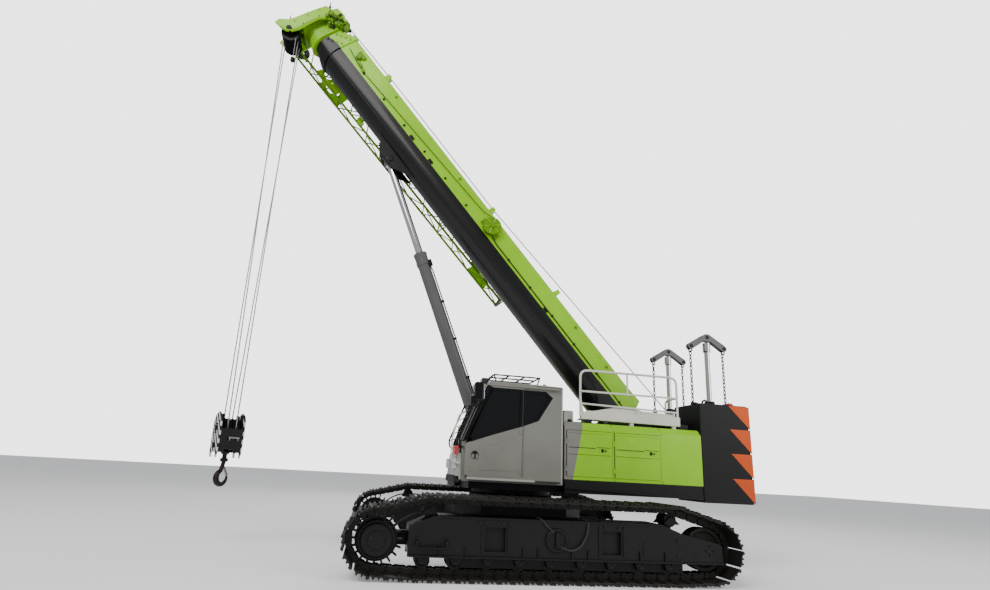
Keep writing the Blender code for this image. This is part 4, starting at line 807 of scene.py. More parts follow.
def bolt_circle(centre, radius, count, along="Y", width=0.03, height=0.014, space=MACHINE, start=0.0):
    """Hexagon bolt heads round a circle. A positive height stands out along the axis."""
    across = {"X": (1, 2), "Y": (0, 2), "Z": (0, 1)}[along]
    axis = "XYZ".index(along)
    made = []
    for i in range(count):
        at = Vector(centre)
        at[across[0]] += radius * math.cos(start + math.tau * i / count)
        at[across[1]] += radius * math.sin(start + math.tau * i / count)
        end = at.copy()
        end[axis] += height
        made.append(rod(at, end, width / 2, 0, space, 6))
    return made


def bolts(places, way, width=0.03, height=0.014, space=MACHINE):
    """Hexagon bolt heads at places, each standing out along a direction."""
    step = Vector(way) * height
    return [rod(at, Vector(at) + step, width / 2, 0, space, 6) for at in places]


class LayTracks(bpy.types.Operator):
    """Lays a chain of shoes and links round each track"""

    bl_idname = "crane.lay_tracks"
    bl_label = "Lay the tracks"

    def execute(self, context):
        count = context.scene.crane_sizes.shoes
        step = 1 / count
        pitch = 2 * (along_belt(chain_line(), 0.505)[0] - along_belt(chain_line(),
                                                                     0.5)[0]).length * 100 / count
        for side, letter in ((1, "l"), (-1, "r")):
            frames = [shoe_frame((i + 0.5) * step, side) for i in range(count)]
            shoes = joined("track_shoes_" + letter, copies(shoe_shapes(pitch), frames), "track_steel", 30,
                           "undercarriage")
            link = joined("link", link_shapes(pitch), "track_steel")
            links = joined("track_links_" + letter, copies(link, frames), "track_steel", 30,
                           "undercarriage")
            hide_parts("track_" + letter)
        return {"FINISHED"}


class MakeTrackWheels(bpy.types.Operator):
    """Turns the sprockets, idlers and rollers inside each track"""

    bl_idname = "crane.make_track_wheels"
    bl_label = "Make the track wheels"

    def execute(self, context):
        x, z, radius = END_WHEEL
        tip = radius + 0.045
        for side, letter in ((1, "l"), (-1, "r")):
            across = Matrix.Scale(side, 4, (0, 1, 0))
            space = MACHINE @ across

            def at(name, shapes, finish, *nodes, smooth=35):
                made = joined(name + "_" + letter, shapes, finish, smooth, "undercarriage")
                if nodes:
                    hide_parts(*nodes)
                return made

            gear = [(x + a, z + b) for a, b in gear_outline(20, radius - 0.028, tip)]
            at("sprocket_rim", [plate(gear, TRACK_Y - 0.045, TRACK_Y + 0.045, 0.006, space)], "track_steel",
               "drive_sprocket_" + letter)
            hub = turned([(-0.16, 0), (-0.16, 0.14), (-0.06, 0.20), (0.02, 0.235), (0.02, 0.262),
                          (0.16, 0.262), (0.17, 0.254), (0.175, 0.225), (0.215, 0.222), (0.235, 0.205),
                          (0.238, 0.12), (0.252, 0.115), (0.257, 0)], (x, TRACK_Y, z), (0, 1, 0), space, 56)
            at("final_drive_" + letter, [hub], "frame_paint")
            at("final_drive_bolts", [bolt_circle((x, TRACK_Y + 0.17, z), 0.238, 24, "Y", 0.026, 0.016,
                                                 space),
                                     bolt_circle((x, TRACK_Y + 0.236, z), 0.165, 10, "Y", 0.030, 0.014,
                                                 space),
                                     bolt_circle((x, TRACK_Y + 0.255, z), 0.075, 3, "Y", 0.036, 0.012,
                                                 space, 0.4)],
               "track_steel")
            idler = turned([(-0.12, 0), (-0.12, 0.075), (-0.085, 0.09), (-0.075, 0.24), (-0.10, 0.262),
                            (-0.10, 0.312), (-0.052, 0.312), (-0.045, 0.318), (0.045, 0.318),
                            (0.052, 0.312), (0.10, 0.312), (0.10, 0.262), (0.075, 0.24), (0.085, 0.09),
                            (0.12, 0.075), (0.12, 0)],
                           (-x, TRACK_Y, z), (0, 1, 0), space, 56)
            at("idler_wheel", [idler], "track_steel", "idler_" + letter)
            yoke = [(-x + 0.15, z + 0.085), (-x - 0.10, z + 0.07), (-x - 0.12, z + 0.03),
                    (-x - 0.12, z - 0.06), (-x + 0.15, z - 0.085), (-x + 0.46, z - 0.07),
                    (-x + 0.46, z + 0.07)]
            cover = [(-1.95, 0.306), (-2.64, 0.306), (-2.69, 0.34), (-2.69, 0.56), (-2.62, 0.60),
                     (-1.95, 0.74)]
            at("idler_yoke", [plate(yoke, TRACK_Y - 0.185, TRACK_Y - 0.135, 0.008, space),
                              plate(cover, FRAME_FACE_Y - 0.075, FRAME_FACE_Y + 0.004, 0.010, space),
                              block((-2.68, FRAME_FACE_Y - 0.01, 0.306),
                                    (-2.0, FRAME_FACE_Y + 0.030, 0.332), 0.006, space)]
               + bolt_circle((-x, FRAME_FACE_Y + 0.004, z), 0.06, 4, "Y", 0.034, 0.014, space),
               "frame_paint")
            # thin dark plates just inside the roller caps, hiding the rollers' ends: painted shade for the
            # dark space between the bottom rollers
            shade_plates = [block((-2.08, TRACK_Y + y, 0.165), (1.30, TRACK_Y + y + 0.004, 0.312), 0.001, space)
                      for y in (0.148, -0.152)]
            at("roller_shade_plates", shade_plates, "frame_paint")
            self.rollers(at, space, letter)
        return {"FINISHED"}

    def rollers(self, at, space, letter):
        wheels, caps, heads = [], [], []
        for i in range(ROLLER_COUNT):
            x = (ROLLER_REACH - 0.12) * (2 * i / (ROLLER_COUNT - 1) - 1)
            flange = 0.118 if i % 2 else 0.108
            wheels.append(turned([(-0.150, 0), (-0.150, 0.055), (-0.128, 0.075), (-0.128, flange),
                                  (-0.115, flange), (-0.112, 0.096), (-0.02, 0.096), (-0.016, 0.080),
                                  (0.016, 0.080), (0.02, 0.096), (0.112, 0.096), (0.115, flange),
                                  (0.128, flange), (0.128, 0.075), (0.150, 0.055), (0.150, 0)],
                                 (x, TRACK_Y, ROLLER_Z), (0, 1, 0), space, 28))
            for y, way in ((TRACK_Y + 0.152, 1), (TRACK_Y - 0.152, -1)):
                foot = [(x - 0.085, ROLLER_Z + 0.058), (x - 0.075, ROLLER_Z + 0.02),
                        (x - 0.045, ROLLER_Z - 0.045), (x + 0.045, ROLLER_Z - 0.045),
                        (x + 0.075, ROLLER_Z + 0.02), (x + 0.085, ROLLER_Z + 0.058)]
                caps.append(plate(foot, y, y + way * 0.062, 0.010, space))
                heads += bolts([(x + dx, y + way * 0.062, ROLLER_Z + 0.032) for dx in (-0.045, 0.045)],
                               (0, way, 0),
                               0.030, 0.016, space)
                heads += bolts([(x, y + way * 0.062, ROLLER_Z - 0.012)], (0, way, 0), 0.036, 0.010, space)
        at("bottom_rollers", wheels, "track_steel", "track_rollers_" + letter)
        at("roller_caps", caps, "frame_paint")
        at("roller_bolts", heads, "track_steel")
        tops = [turned([(-0.16, 0), (-0.16, 0.045), (-0.13, 0.05), (-0.12, 0.100), (-0.105, 0.100),
                        (-0.10, 0.088), (0.10, 0.088), (0.105, 0.100), (0.12, 0.100), (0.13, 0.05),
                        (0.16, 0.045), (0.16, 0)],
                       (x, TRACK_Y, CARRIER_Z), (0, 1, 0), space, 32) for x in CARRIERS]
        at("carrier_rollers", tops, "track_steel")
        feet = [plate([(x - 0.14, 0.845), (x + 0.14, 0.845), (x + 0.055, CARRIER_Z + 0.02),
                       (x + 0.02, CARRIER_Z + 0.045), (x - 0.02, CARRIER_Z + 0.045),
                       (x - 0.055, CARRIER_Z + 0.02)], y, y + 0.03, 0.006, space)
                for x in CARRIERS for y in (TRACK_Y + 0.132, TRACK_Y - 0.162)]
        at("carrier_brackets", feet, "frame_paint")


class DressTrackFrames(bpy.types.Operator):
    """Adds the steps, covers, flanges, hoses and bolts to the track frames"""

    bl_idname = "crane.dress_track_frames"
    bl_label = "Dress the track frames"

    def execute(self, context):
        face = FRAME_FACE_Y
        plates = [block((-2.03, face - 0.01, 0.305), (2.03, face + 0.030, 0.332), 0.006),
                  block((-1.70, face - 0.012, 0.822), (1.70, face + 0.014, 0.848), 0.005)]
        plates += [block((x - 0.012, face - 0.01, 0.332), (x + 0.012, face + 0.024, 0.46), 0.004)
                   for x in (-1.75, -1.35, -0.55, -0.30, 0.20, 0.42, 1.25, 1.62)]
        plates += [block((x - 0.205, face - 0.008, 0.375), (x - 0.175, face + 0.012, 0.745), 0.004)
                   for x in (0.83, -0.91, 1.21, -0.53)]
        joined("track_frame_flanges", mirrored(joined("flanges", plates, "frame_paint")), "frame_paint", 35,
               "undercarriage")
        boss = turned([(-0.02, 0), (-0.02, 0.165), (0.025, 0.165), (0.035, 0.155), (0.035, 0.125),
                       (0.020, 0.12), (0.020, 0.0)], (-0.07, face, 0.575), (0, 1, 0), MACHINE, 40)
        pin = [block((-0.10, face + 0.018, 0.47), (-0.04, face + 0.055, 0.69), 0.014),
               rod((-0.07, face + 0.05, 0.52), (-0.07, face + 0.066, 0.52), 0.022, 0.004)]
        joined("frame_pin_boss", mirrored(joined("boss", [boss] + pin, "frame_paint")), "frame_paint", 35,
               "undercarriage")
        step = [tube([(1.52, face - 0.005, 0.52), (1.52, face + 0.075, 0.52), (1.52, face + 0.075, 0.42),
                      (1.93, face + 0.075, 0.42), (1.93, face + 0.075, 0.52), (1.93, face - 0.005, 0.52)],
                     0.015,
                     MACHINE, 12, 0.04)]
        step += [block((x - 0.035, face - 0.01, 0.48), (x + 0.035, face + 0.014, 0.56), 0.004)
                 for x in (1.52, 1.93)]
        step += [block((1.56, face + 0.055, 0.425), (1.89, face + 0.10, 0.445), 0.004)]
        joined("track_steps", mirrored(joined("step", step, "frame_paint")), "frame_paint", 35,
               "undercarriage")
        spots = [(x, face + 0.012, z) for x in (1.06, 0.98, 0.72, 0.64, -0.72, -0.80, -1.02, -1.10)
                 for z in (0.775,)]
        spots += [(-1.42, face, 0.44), (-1.42, face, 0.50), (-1.42, face, 0.56), (-1.95, face, 0.62),
                  (-1.95, face, 0.42), (1.38, face, 0.60), (1.38, face, 0.40), (0.30, face, 0.62),
                  (-0.45, face, 0.55), (-2.0, face, 0.345)]
        studs = bolts(spots, (0, 1, 0), 0.034, 0.016)
        joined("track_frame_bolts", mirrored(joined("studs", studs, "track_steel")), "track_steel", 35,
               "undercarriage")
        hoses = [tube([(-0.12, face + 0.02, 0.49), (-0.28, face + 0.05, 0.44), (-0.42, face + 0.045, 0.50),
                       (-0.52, face + 0.03, 0.66), (-0.55, face + 0.02, 0.83), (-0.52, face - 0.08, 0.875)],
                      0.013,
                      MACHINE, 10, 0.06),
                 tube([(0.22, face - 0.10, 0.875), (0.16, face + 0.01, 0.86), (0.10, face + 0.03, 0.78),
                       (-0.02, face + 0.03, 0.68)], 0.011, MACHINE, 10, 0.05),
                 tube([(1.30, face - 0.25, 0.86), (1.55, face - 0.16, 0.90), (1.95, face - 0.12, 0.88),
                       (2.16, face - 0.07, 0.78), (2.26, face - 0.14, 0.68)], 0.016, MACHINE, 10, 0.08)]
        joined("track_frame_hoses", mirrored(joined("hoses", hoses, "rubber")), "rubber", 40,
               "undercarriage")
        return {"FINISHED"}


# ---------------------------------------------------------------- cab
CAB_OUTER = 1.50
CAB_INNER = 0.56
CAB_REAR, CAB_FRONT = -0.493, 1.23
CAB_LOW, CAB_TOP = 1.314, 2.94
DOOR_FACE = 1.541
DOOR_SEAM = 0.22
WINDOW = [(-0.19, 2.85), (0.775, 2.85), (1.155, 1.99), (1.155, 1.925), (0.215, 2.235), (-0.065, 2.345),
          (-0.315, 2.75)]


def cut_at(outline, x, keep_front):
    """The part of an outline in front of, or behind, a line across it."""
    made = []
    for (x1, z1), (x2, z2) in zip(outline, outline[1:] + outline[:1]):
        if (x1 > x) == keep_front:
            made.append((x1, z1))
        if (x1 > x) != (x2 > x):
            made.append((x, z1 + (z2 - z1) * (x - x1) / (x2 - x1)))
    return made


def inset_outline(outline, inset):
    """An outline moved inwards by the same distance everywhere."""
    middle = sum((Vector(p) for p in outline), Vector((0, 0))) / len(outline)
    made = []
    for i, point in enumerate(outline):
        here = Vector(point)
        ways = [(here - Vector(outline[i - 1])).normalized(),
                (Vector(outline[(i + 1) % len(outline)]) - here).normalized()]
        normals = [Vector((-way.y, way.x)) for way in ways]
        normals = [n if n.dot(middle - here) > 0 else -n for n in normals]
        mitre = (normals[0] + normals[1]).normalized()
        made.append(tuple(here + mitre * inset / max(mitre.dot(normals[0]), 0.35)))
    return made


def surround(outline, width, low_side, high_side, bevel=0.003, space=MACHINE, axis="Y", inner=None):
    """A flat ring round an outline, such as a window's border."""
    clear_selection()
    order = {"X": lambda a, b, t: (t, a, b), "Y": lambda a, b, t: (a, t, b),
             "Z": lambda a, b, t: (a, b, t)}[axis]
    inner = inner or inset_outline(outline, width)
    count = len(outline)
    bpy.ops.mesh.primitive_grid_add(x_subdivisions=count, y_subdivisions=1, size=1)
    obj = bpy.context.active_object
    bpy.ops.object.mode_set(mode="EDIT")
    bpy.ops.mesh.select_all(action="SELECT")
    bpy.ops.object.mode_set(mode="OBJECT")
    vertices = sorted(obj.data.vertices, key=lambda v: (round(v.co.y, 4), v.co.x))
    for i in range(count + 1):
        vertices[i].co = order(*outline[i % count], low_side)
        vertices[count + 1 + i].co = order(*inner[i % count], low_side)
    bpy.ops.object.mode_set(mode="EDIT")
    bpy.ops.mesh.select_all(action="SELECT")
    bpy.ops.mesh.remove_doubles(threshold=0.0001)
    bpy.ops.mesh.select_all(action="SELECT")
    step = Vector(order(0, 0, high_side - low_side))
    bpy.ops.mesh.extrude_region_move(TRANSFORM_OT_translate={"value": step})
    bpy.ops.mesh.select_all(action="SELECT")
    bpy.ops.mesh.normals_make_consistent(inside=False)
    bpy.ops.object.mode_set(mode="OBJECT")
    bevelled(obj, bevel, 2)
    return placed(obj, space)


class DressCab(bpy.types.Operator):
    """Adds the window borders, seals, handles, mirrors, guards, lamps and wiper to the cab"""

    bl_idname = "crane.dress_cab"
    bl_label = "Dress the cab"

    def execute(self, context):
        body = "superstructure"
        door_window = cut_at(WINDOW, DOOR_SEAM + 0.004, True)
        quarter = cut_at(WINDOW, DOOR_SEAM - 0.006, False)
        joined("door_window_border", [surround(door_window, 0.048, DOOR_FACE - 0.010, DOOR_FACE + 0.004)],
               "gloss_black",
               30, "cab_door")
        joined("quarter_window_border", [surround(quarter, 0.048, CAB_OUTER - 0.012, CAB_OUTER + 0.003)],
               "gloss_black",
               30, body)
        front_pillar = [(1.16, 1.95), (1.225, 1.93), (0.835, 2.90), (0.78, 2.86)]
        joined("front_pillars", [plate(front_pillar, CAB_OUTER - 0.03, CAB_OUTER + 0.012, 0.008),
                                 plate(front_pillar, CAB_INNER - 0.012, CAB_INNER + 0.03, 0.008)],
               "gloss_black", 30, body)
        door_pillar = [(1.080, 1.945), (1.171, 1.905), (0.812, 2.879), (0.730, 2.845)]
        joined("door_pillar", [plate(door_pillar, DOOR_FACE - 0.006, DOOR_FACE + 0.004, 0.002)],
               "gloss_black", 30, "cab_door")
        joined("window_post", [block((DOOR_SEAM - 0.0065, CAB_OUTER - 0.01, 2.25),
                                     (DOOR_SEAM - 0.0005, CAB_OUTER + 0.003, 2.84),
                                     0.001)], "gloss_black", 30, body)
        seams = [block((DOOR_SEAM - 0.010, CAB_OUTER - 0.005, 1.41),
                       (DOOR_SEAM - 0.002, CAB_OUTER + 0.012, 2.24), 0.001)]
        outline = [(DOOR_SEAM + 0.004, 1.408), (1.164, 1.408), (1.164, 1.895), (0.806, 2.875),
                   (DOOR_SEAM + 0.004, 2.875)]
        seal = surround(outline, 0.022, CAB_OUTER + 0.0005, CAB_OUTER + 0.0030, 0.0006)
        joined("door_seals", seams + [seal], "rubber", 30, body)
        self.door_parts()
        self.side_parts(body)
        self.roof_parts(body)
        self.front_parts(body)
        self.rear_parts(body)
        return {"FINISHED"}

    def door_parts(self):
        y = DOOR_FACE
        cup = turned([(-0.006, 0.0), (-0.006, 0.062), (0.004, 0.062), (0.006, 0.056), (0.006, 0.046),
                      (0.001, 0.042), (0.001, 0.0)], (1.01, y, 1.735), (0, 1, 0), MACHINE, 32)
        joined("door_handle_cup", [cup], "plastic", 30, "cab_door")
        pull = [block((0.996, y + 0.004, 1.680), (1.024, y + 0.022, 1.790), 0.006),
                rod((1.01, y + 0.02, 1.775), (1.01, y + 0.028, 1.775), 0.008)]
        joined("door_handle", pull, "gloss_black", 30, "cab_door")
        crease = [(0.26, 1.495), (0.72, 1.500), (1.10, 1.47), (1.10, 1.482), (0.72, 1.513), (0.26, 1.508)]
        rib = [(0.30, 1.515), (0.72, 1.520), (0.88, 1.80), (0.80, 1.80), (0.66, 1.53), (0.30, 1.526)]
        swage = [plate(crease, y - 0.004, y + 0.004, 0.003), plate(rib, y - 0.004, y + 0.0025, 0.002)]
        swage.append(plate([(0.30, 2.06), (1.08, 1.80), (1.08, 1.79), (0.30, 2.045)], y - 0.004, y + 0.003,
                           0.002))
        joined("door_swages", swage, "grey_paint", 40, "cab_door")
        hinge = [block((0.235, y - 0.003, z), (0.275, y + 0.010, z + 0.09), 0.004) for z in (1.46, 2.10)]
        joined("door_guides", hinge, "grey_paint", 30, "cab_door")

    def side_parts(self, body):
        y = CAB_OUTER
        joined("door_sill_strip", [block((0.0, y + 0.030, 1.342), (1.13, y + 0.072, 1.376), 0.008)],
               "light_grey", 30, body)
        slot = [block((-0.43, y + 0.020, 1.345), (0.02, y + 0.060, 1.372), 0.004),
                block((-0.42, y + 0.005, 2.905), (0.12, y + 0.045, 2.925), 0.003)]
        joined("door_tracks", slot, "plastic", 30, body)
        gutter = [tube([(-0.47, y + 0.012, 2.935), (0.10, y + 0.018, 2.945), (0.80, y + 0.018, 2.945),
                        (0.87, y + 0.012, 2.86)],
                       0.014, MACHINE, 10, 0.03),
                  tube([(-0.47, CAB_INNER - 0.010, 2.935), (0.80, CAB_INNER - 0.010, 2.945),
                        (0.87, CAB_INNER - 0.008, 2.86)], 0.014, MACHINE, 10, 0.03)]
        joined("roof_gutters", gutter, "light_grey", 40, body)
        cover = [block((-0.02, y - 0.02, 2.895), (0.80, y + 0.048, 2.955), 0.014)]
        joined("door_track_cover", cover, "grey_paint", 35, body)
        edge = [tube([(-0.478, y - 0.004, 1.33), (-0.478, y - 0.004, 2.90)], 0.015, MACHINE, 10)]
        joined("cab_corner_post", edge, "light_grey", 40, body)
        joined("cab_gap_seal", [block((-0.525, 0.66, 1.33), (-0.497, y - 0.03, 2.36), 0.006)], "rubber", 30,
               body)

    def roof_parts(self, body):
        low_z, high_z = CAB_TOP + 0.012, 3.105
        bars = [tube([(-0.12, yy, high_z), (0.70, yy, high_z)], 0.014, MACHINE, 8)
                for yy in (0.70, 1.02, 1.34)]
        bars += [tube([(xx, 0.70, high_z), (xx, 1.34, high_z)], 0.014, MACHINE, 8)
                 for xx in (-0.12, 0.15, 0.43, 0.70)]
        bars += [tube([(xx, yy, high_z), (xx + sink, yy, low_z)], 0.013, MACHINE, 8)
                 for xx, sink in ((-0.12, 0.05), (0.70, -0.06)) for yy in (0.70, 1.34)]
        bars += [tube([(0.70, yy, high_z), (0.86, yy, CAB_TOP - 0.02)], 0.013, MACHINE, 8)
                 for yy in (0.70, 1.34)]
        made = joined("roof_guard_bars", bars, "dark_paint", 40, body)
        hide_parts("roof_guard")
        frame_ring = surround([(-0.14, 0.69), (0.66, 0.69), (0.66, 1.32), (-0.14, 1.32)], 0.05,
                              CAB_TOP - 0.004,
                              CAB_TOP + 0.016, 0.004, MACHINE, "Z")
        joined("roof_hatch_frame", [frame_ring], "rubber", 30, body)
        joined("roof_hatch", [block((-0.10, 0.73, CAB_TOP - 0.03), (0.62, 1.28, CAB_TOP + 0.006), 0.006)],
               "cab_glass", 30, body)
        lamp_body = [block((0.80, yy, 2.90), (0.93, yy + 0.15, 3.02), 0.022) for yy in (0.62, 1.30)]
        joined("work_lamp_housings", lamp_body, "plastic", 30, body)
        lens = [plate([(yy + 0.02, 2.918), (yy + 0.13, 2.918), (yy + 0.13, 3.0), (yy + 0.02, 3.0)], 0.925,
                      0.938, 0.004,
                      MACHINE, "X") for yy in (0.62, 1.30)]
        joined("work_lamp_lenses", lens, "clear_lens", 30, body)
        beacon = [rod((-0.32, 1.0, 2.935), (-0.32, 1.0, 2.975), 0.05, 0.006)]
        joined("beacon_base", beacon, "plastic", 30, body)
        dome = turned([(0.0, 0.0), (0.0, 0.042), (0.06, 0.040), (0.085, 0.030), (0.095, 0.0)],
                      (-0.32, 1.0, 2.975), (0, 0, 1),
                      MACHINE, 28)
        joined("beacon_dome", [dome], "amber_lens", 40, body)

    def front_parts(self, body):
        y = CAB_OUTER
        lump = [block((0.90, y - 0.06, 2.60), (1.06, y + 0.06, 2.93), 0.035),
                block((0.98, y - 0.05, 2.52), (1.12, y + 0.05, 2.70), 0.03),
                tube([(0.86, y - 0.03, 2.90), (1.0, y, 2.86)], 0.02, MACHINE, 10)]
        joined("mirror_housing", lump, "gloss_black", 35, body)
        joined("mirror_face", [block((0.892, y - 0.045, 2.63), (0.903, y + 0.045, 2.90), 0.004)],
               "mirror_glass", 30, body)
        rails = []
        for yy, shift in ((y + 0.02, 0.0), (y - 0.10, 0.02), (CAB_INNER + 0.10, 0.05),
                          (CAB_INNER - 0.0, 0.03)):
            rails.append(tube([(1.02 + shift, yy, 2.62), (1.27 + shift, yy, 1.98), (1.26 + shift, yy, 1.86),
                               (1.20, yy, 1.84)], 0.013, MACHINE, 10, 0.05))
        for step in range(6):
            share = step / 5
            x, z = 1.07 + 0.225 * share, 2.58 - 0.60 * share
            rails.append(tube([(x, CAB_INNER, z), (x - 0.012, y + 0.02, z)], 0.008, MACHINE, 8))
        joined("windscreen_guard", rails, "dark_paint", 40, body)
        hand = [tube([(1.20, y + 0.005, 2.42), (1.30, y + 0.05, 2.36), (1.395, y + 0.05, 1.98),
                      (1.40, y + 0.05, 1.62), (1.25, y + 0.005, 1.58)], 0.014, MACHINE, 12, 0.06)]
        joined("cab_grab_rail", hand, "rail_paint", 40, body)
        lower = [(CAB_FRONT - 0.01, 1.75), (CAB_FRONT + 0.055, 1.75), (CAB_FRONT + 0.085, 1.40),
                 (CAB_FRONT + 0.06, 1.33), (CAB_FRONT - 0.03, 1.33)]
        joined("cab_front_apron", [plate(lower, CAB_INNER + 0.03, y - 0.02, 0.014)], "light_grey", 30, body)
        border = [(CAB_FRONT - 0.012, 1.745), (CAB_FRONT + 0.014, 1.745), (CAB_FRONT + 0.010, 1.94),
                  (0.895, 2.865), (0.872, 2.852), (CAB_FRONT - 0.016, 1.93)]
        strips = [plate(border, yy, yy + 0.035, 0.004) for yy in (CAB_INNER + 0.055, y - 0.09)]
        strips.append(block((CAB_FRONT - 0.01, CAB_INNER + 0.06, 1.725),
                            (CAB_FRONT + 0.02, y - 0.06, 1.765), 0.004))
        joined("windscreen_border", strips, "gloss_black", 30, body)
        red = [block((CAB_FRONT + 0.05, y - 0.10, 1.72), (CAB_FRONT + 0.12, y + 0.04, 1.86), 0.014)]
        joined("side_marker_lens", red, "red_lens", 30, body)
        clear = [block((CAB_FRONT + 0.066, y - 0.14, 1.50), (CAB_FRONT + 0.115, y - 0.01, 1.66), 0.012),
                 block((CAB_FRONT + 0.066, CAB_INNER + 0.05, 1.50),
                       (CAB_FRONT + 0.115, CAB_INNER + 0.18, 1.66), 0.012)]
        joined("head_lamps", clear, "clear_lens", 30, body)
        step = [block((CAB_FRONT + 0.0, CAB_INNER + 0.0, 1.285), (CAB_FRONT + 0.10, y - 0.02, 1.40), 0.016)]
        joined("cab_bumper", step, "rubber", 30, body)
        wiper = [tube([(1.262, 0.98, 1.80), (1.225, 1.02, 2.10), (1.075, 1.05, 2.46)], 0.009, MACHINE, 8,
                      0.05),
                 block((1.235, 0.955, 1.775), (1.285, 1.005, 1.825), 0.008)]
        joined("wiper_arm", wiper, "gloss_black", 40, body)

    def rear_parts(self, body):
        pane = [(CAB_INNER + 0.14, 2.05), (CAB_OUTER - 0.14, 2.05), (CAB_OUTER - 0.14, 2.72),
                (CAB_INNER + 0.14, 2.72)]
        joined("rear_window", [plate(pane, CAB_REAR - 0.012, CAB_REAR + 0.002, 0.003, MACHINE, "X")],
               "cab_glass", 30, body)
        joined("rear_window_border", [surround(pane, 0.035, CAB_REAR - 0.018, CAB_REAR - 0.001, 0.003,
                                               MACHINE, "X")],
               "gloss_black", 30, body)
        side = [(-0.38, 1.92), (1.105, 1.92), (0.76, 2.86), (-0.38, 2.86)]
        joined("side_window_border", [surround(side, 0.05, CAB_INNER - 0.006, CAB_INNER + 0.012)],
               "gloss_black", 30, body)


class FurnishCab(bpy.types.Operator):
    """Puts the seat, levers, screen and floor mat inside the cab"""

    bl_idname = "crane.furnish_cab"
    bl_label = "Furnish the cab"

    def execute(self, context):
        body = "superstructure"
        cushions = [block((-0.10, 0.82, 1.70), (0.44, 1.28, 1.845), 0.06, MACHINE, 4)]
        back = plate([(-0.155, 1.80), (-0.02, 1.78), (-0.075, 2.36), (-0.19, 2.38)], 0.84, 1.26, 0.05,
                     MACHINE, "Y", 4)
        rest = plate([(-0.20, 2.36), (-0.10, 2.36), (-0.115, 2.55), (-0.205, 2.55)], 0.93, 1.17, 0.035,
                     MACHINE, "Y", 4)
        seat = joined("seat_cushions", cushions + [back, rest], "seat_cloth", 60, body)
        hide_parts("operator_seat")
        base = [block((0.02, 0.88, 1.376), (0.36, 1.22, 1.44), 0.01),
                block((0.06, 0.92, 1.43), (0.32, 1.18, 1.70), 0.02)]
        for yy in (0.70, 1.32):
            base += [block((-0.05, yy, 1.86), (0.36, yy + 0.10, 1.93), 0.02),
                     block((0.02, yy + 0.02, 1.60), (0.12, yy + 0.08, 1.87), 0.01)]
            base.append(rod((0.32, yy + 0.05, 1.92), (0.34, yy + 0.05, 2.06), 0.012, 0, MACHINE, 12))
            base.append(rod((0.335, yy + 0.05, 2.04), (0.345, yy + 0.05, 2.13), 0.026, 0.008, MACHINE, 16))
        base += [block((0.86, 0.90, 1.376), (1.08, 1.20, 1.46), 0.02),
                 block((0.98, 0.70, 2.05), (1.02, 0.96, 2.25), 0.012),
                 rod((1.0, 0.80, 1.80), (1.0, 0.80, 2.06), 0.016)]
        joined("cab_fittings", base, "plastic", 35, body)
        joined("cab_floor_mat", [block((-0.36, 0.64, 1.374), (1.10, 1.42, 1.386), 0.004)], "rubber", 30,
               body)
        return {"FINISHED"}


# ---------------------------------------------------------------- hood, walkway and counterweight
HOOD_FACE = 1.495
HOOD_SEAMS = (-0.55, -1.41, -2.30, -3.06)
HOOD_LOW, HOOD_TOP = 1.4206, 2.38
SUPER = "superstructure"


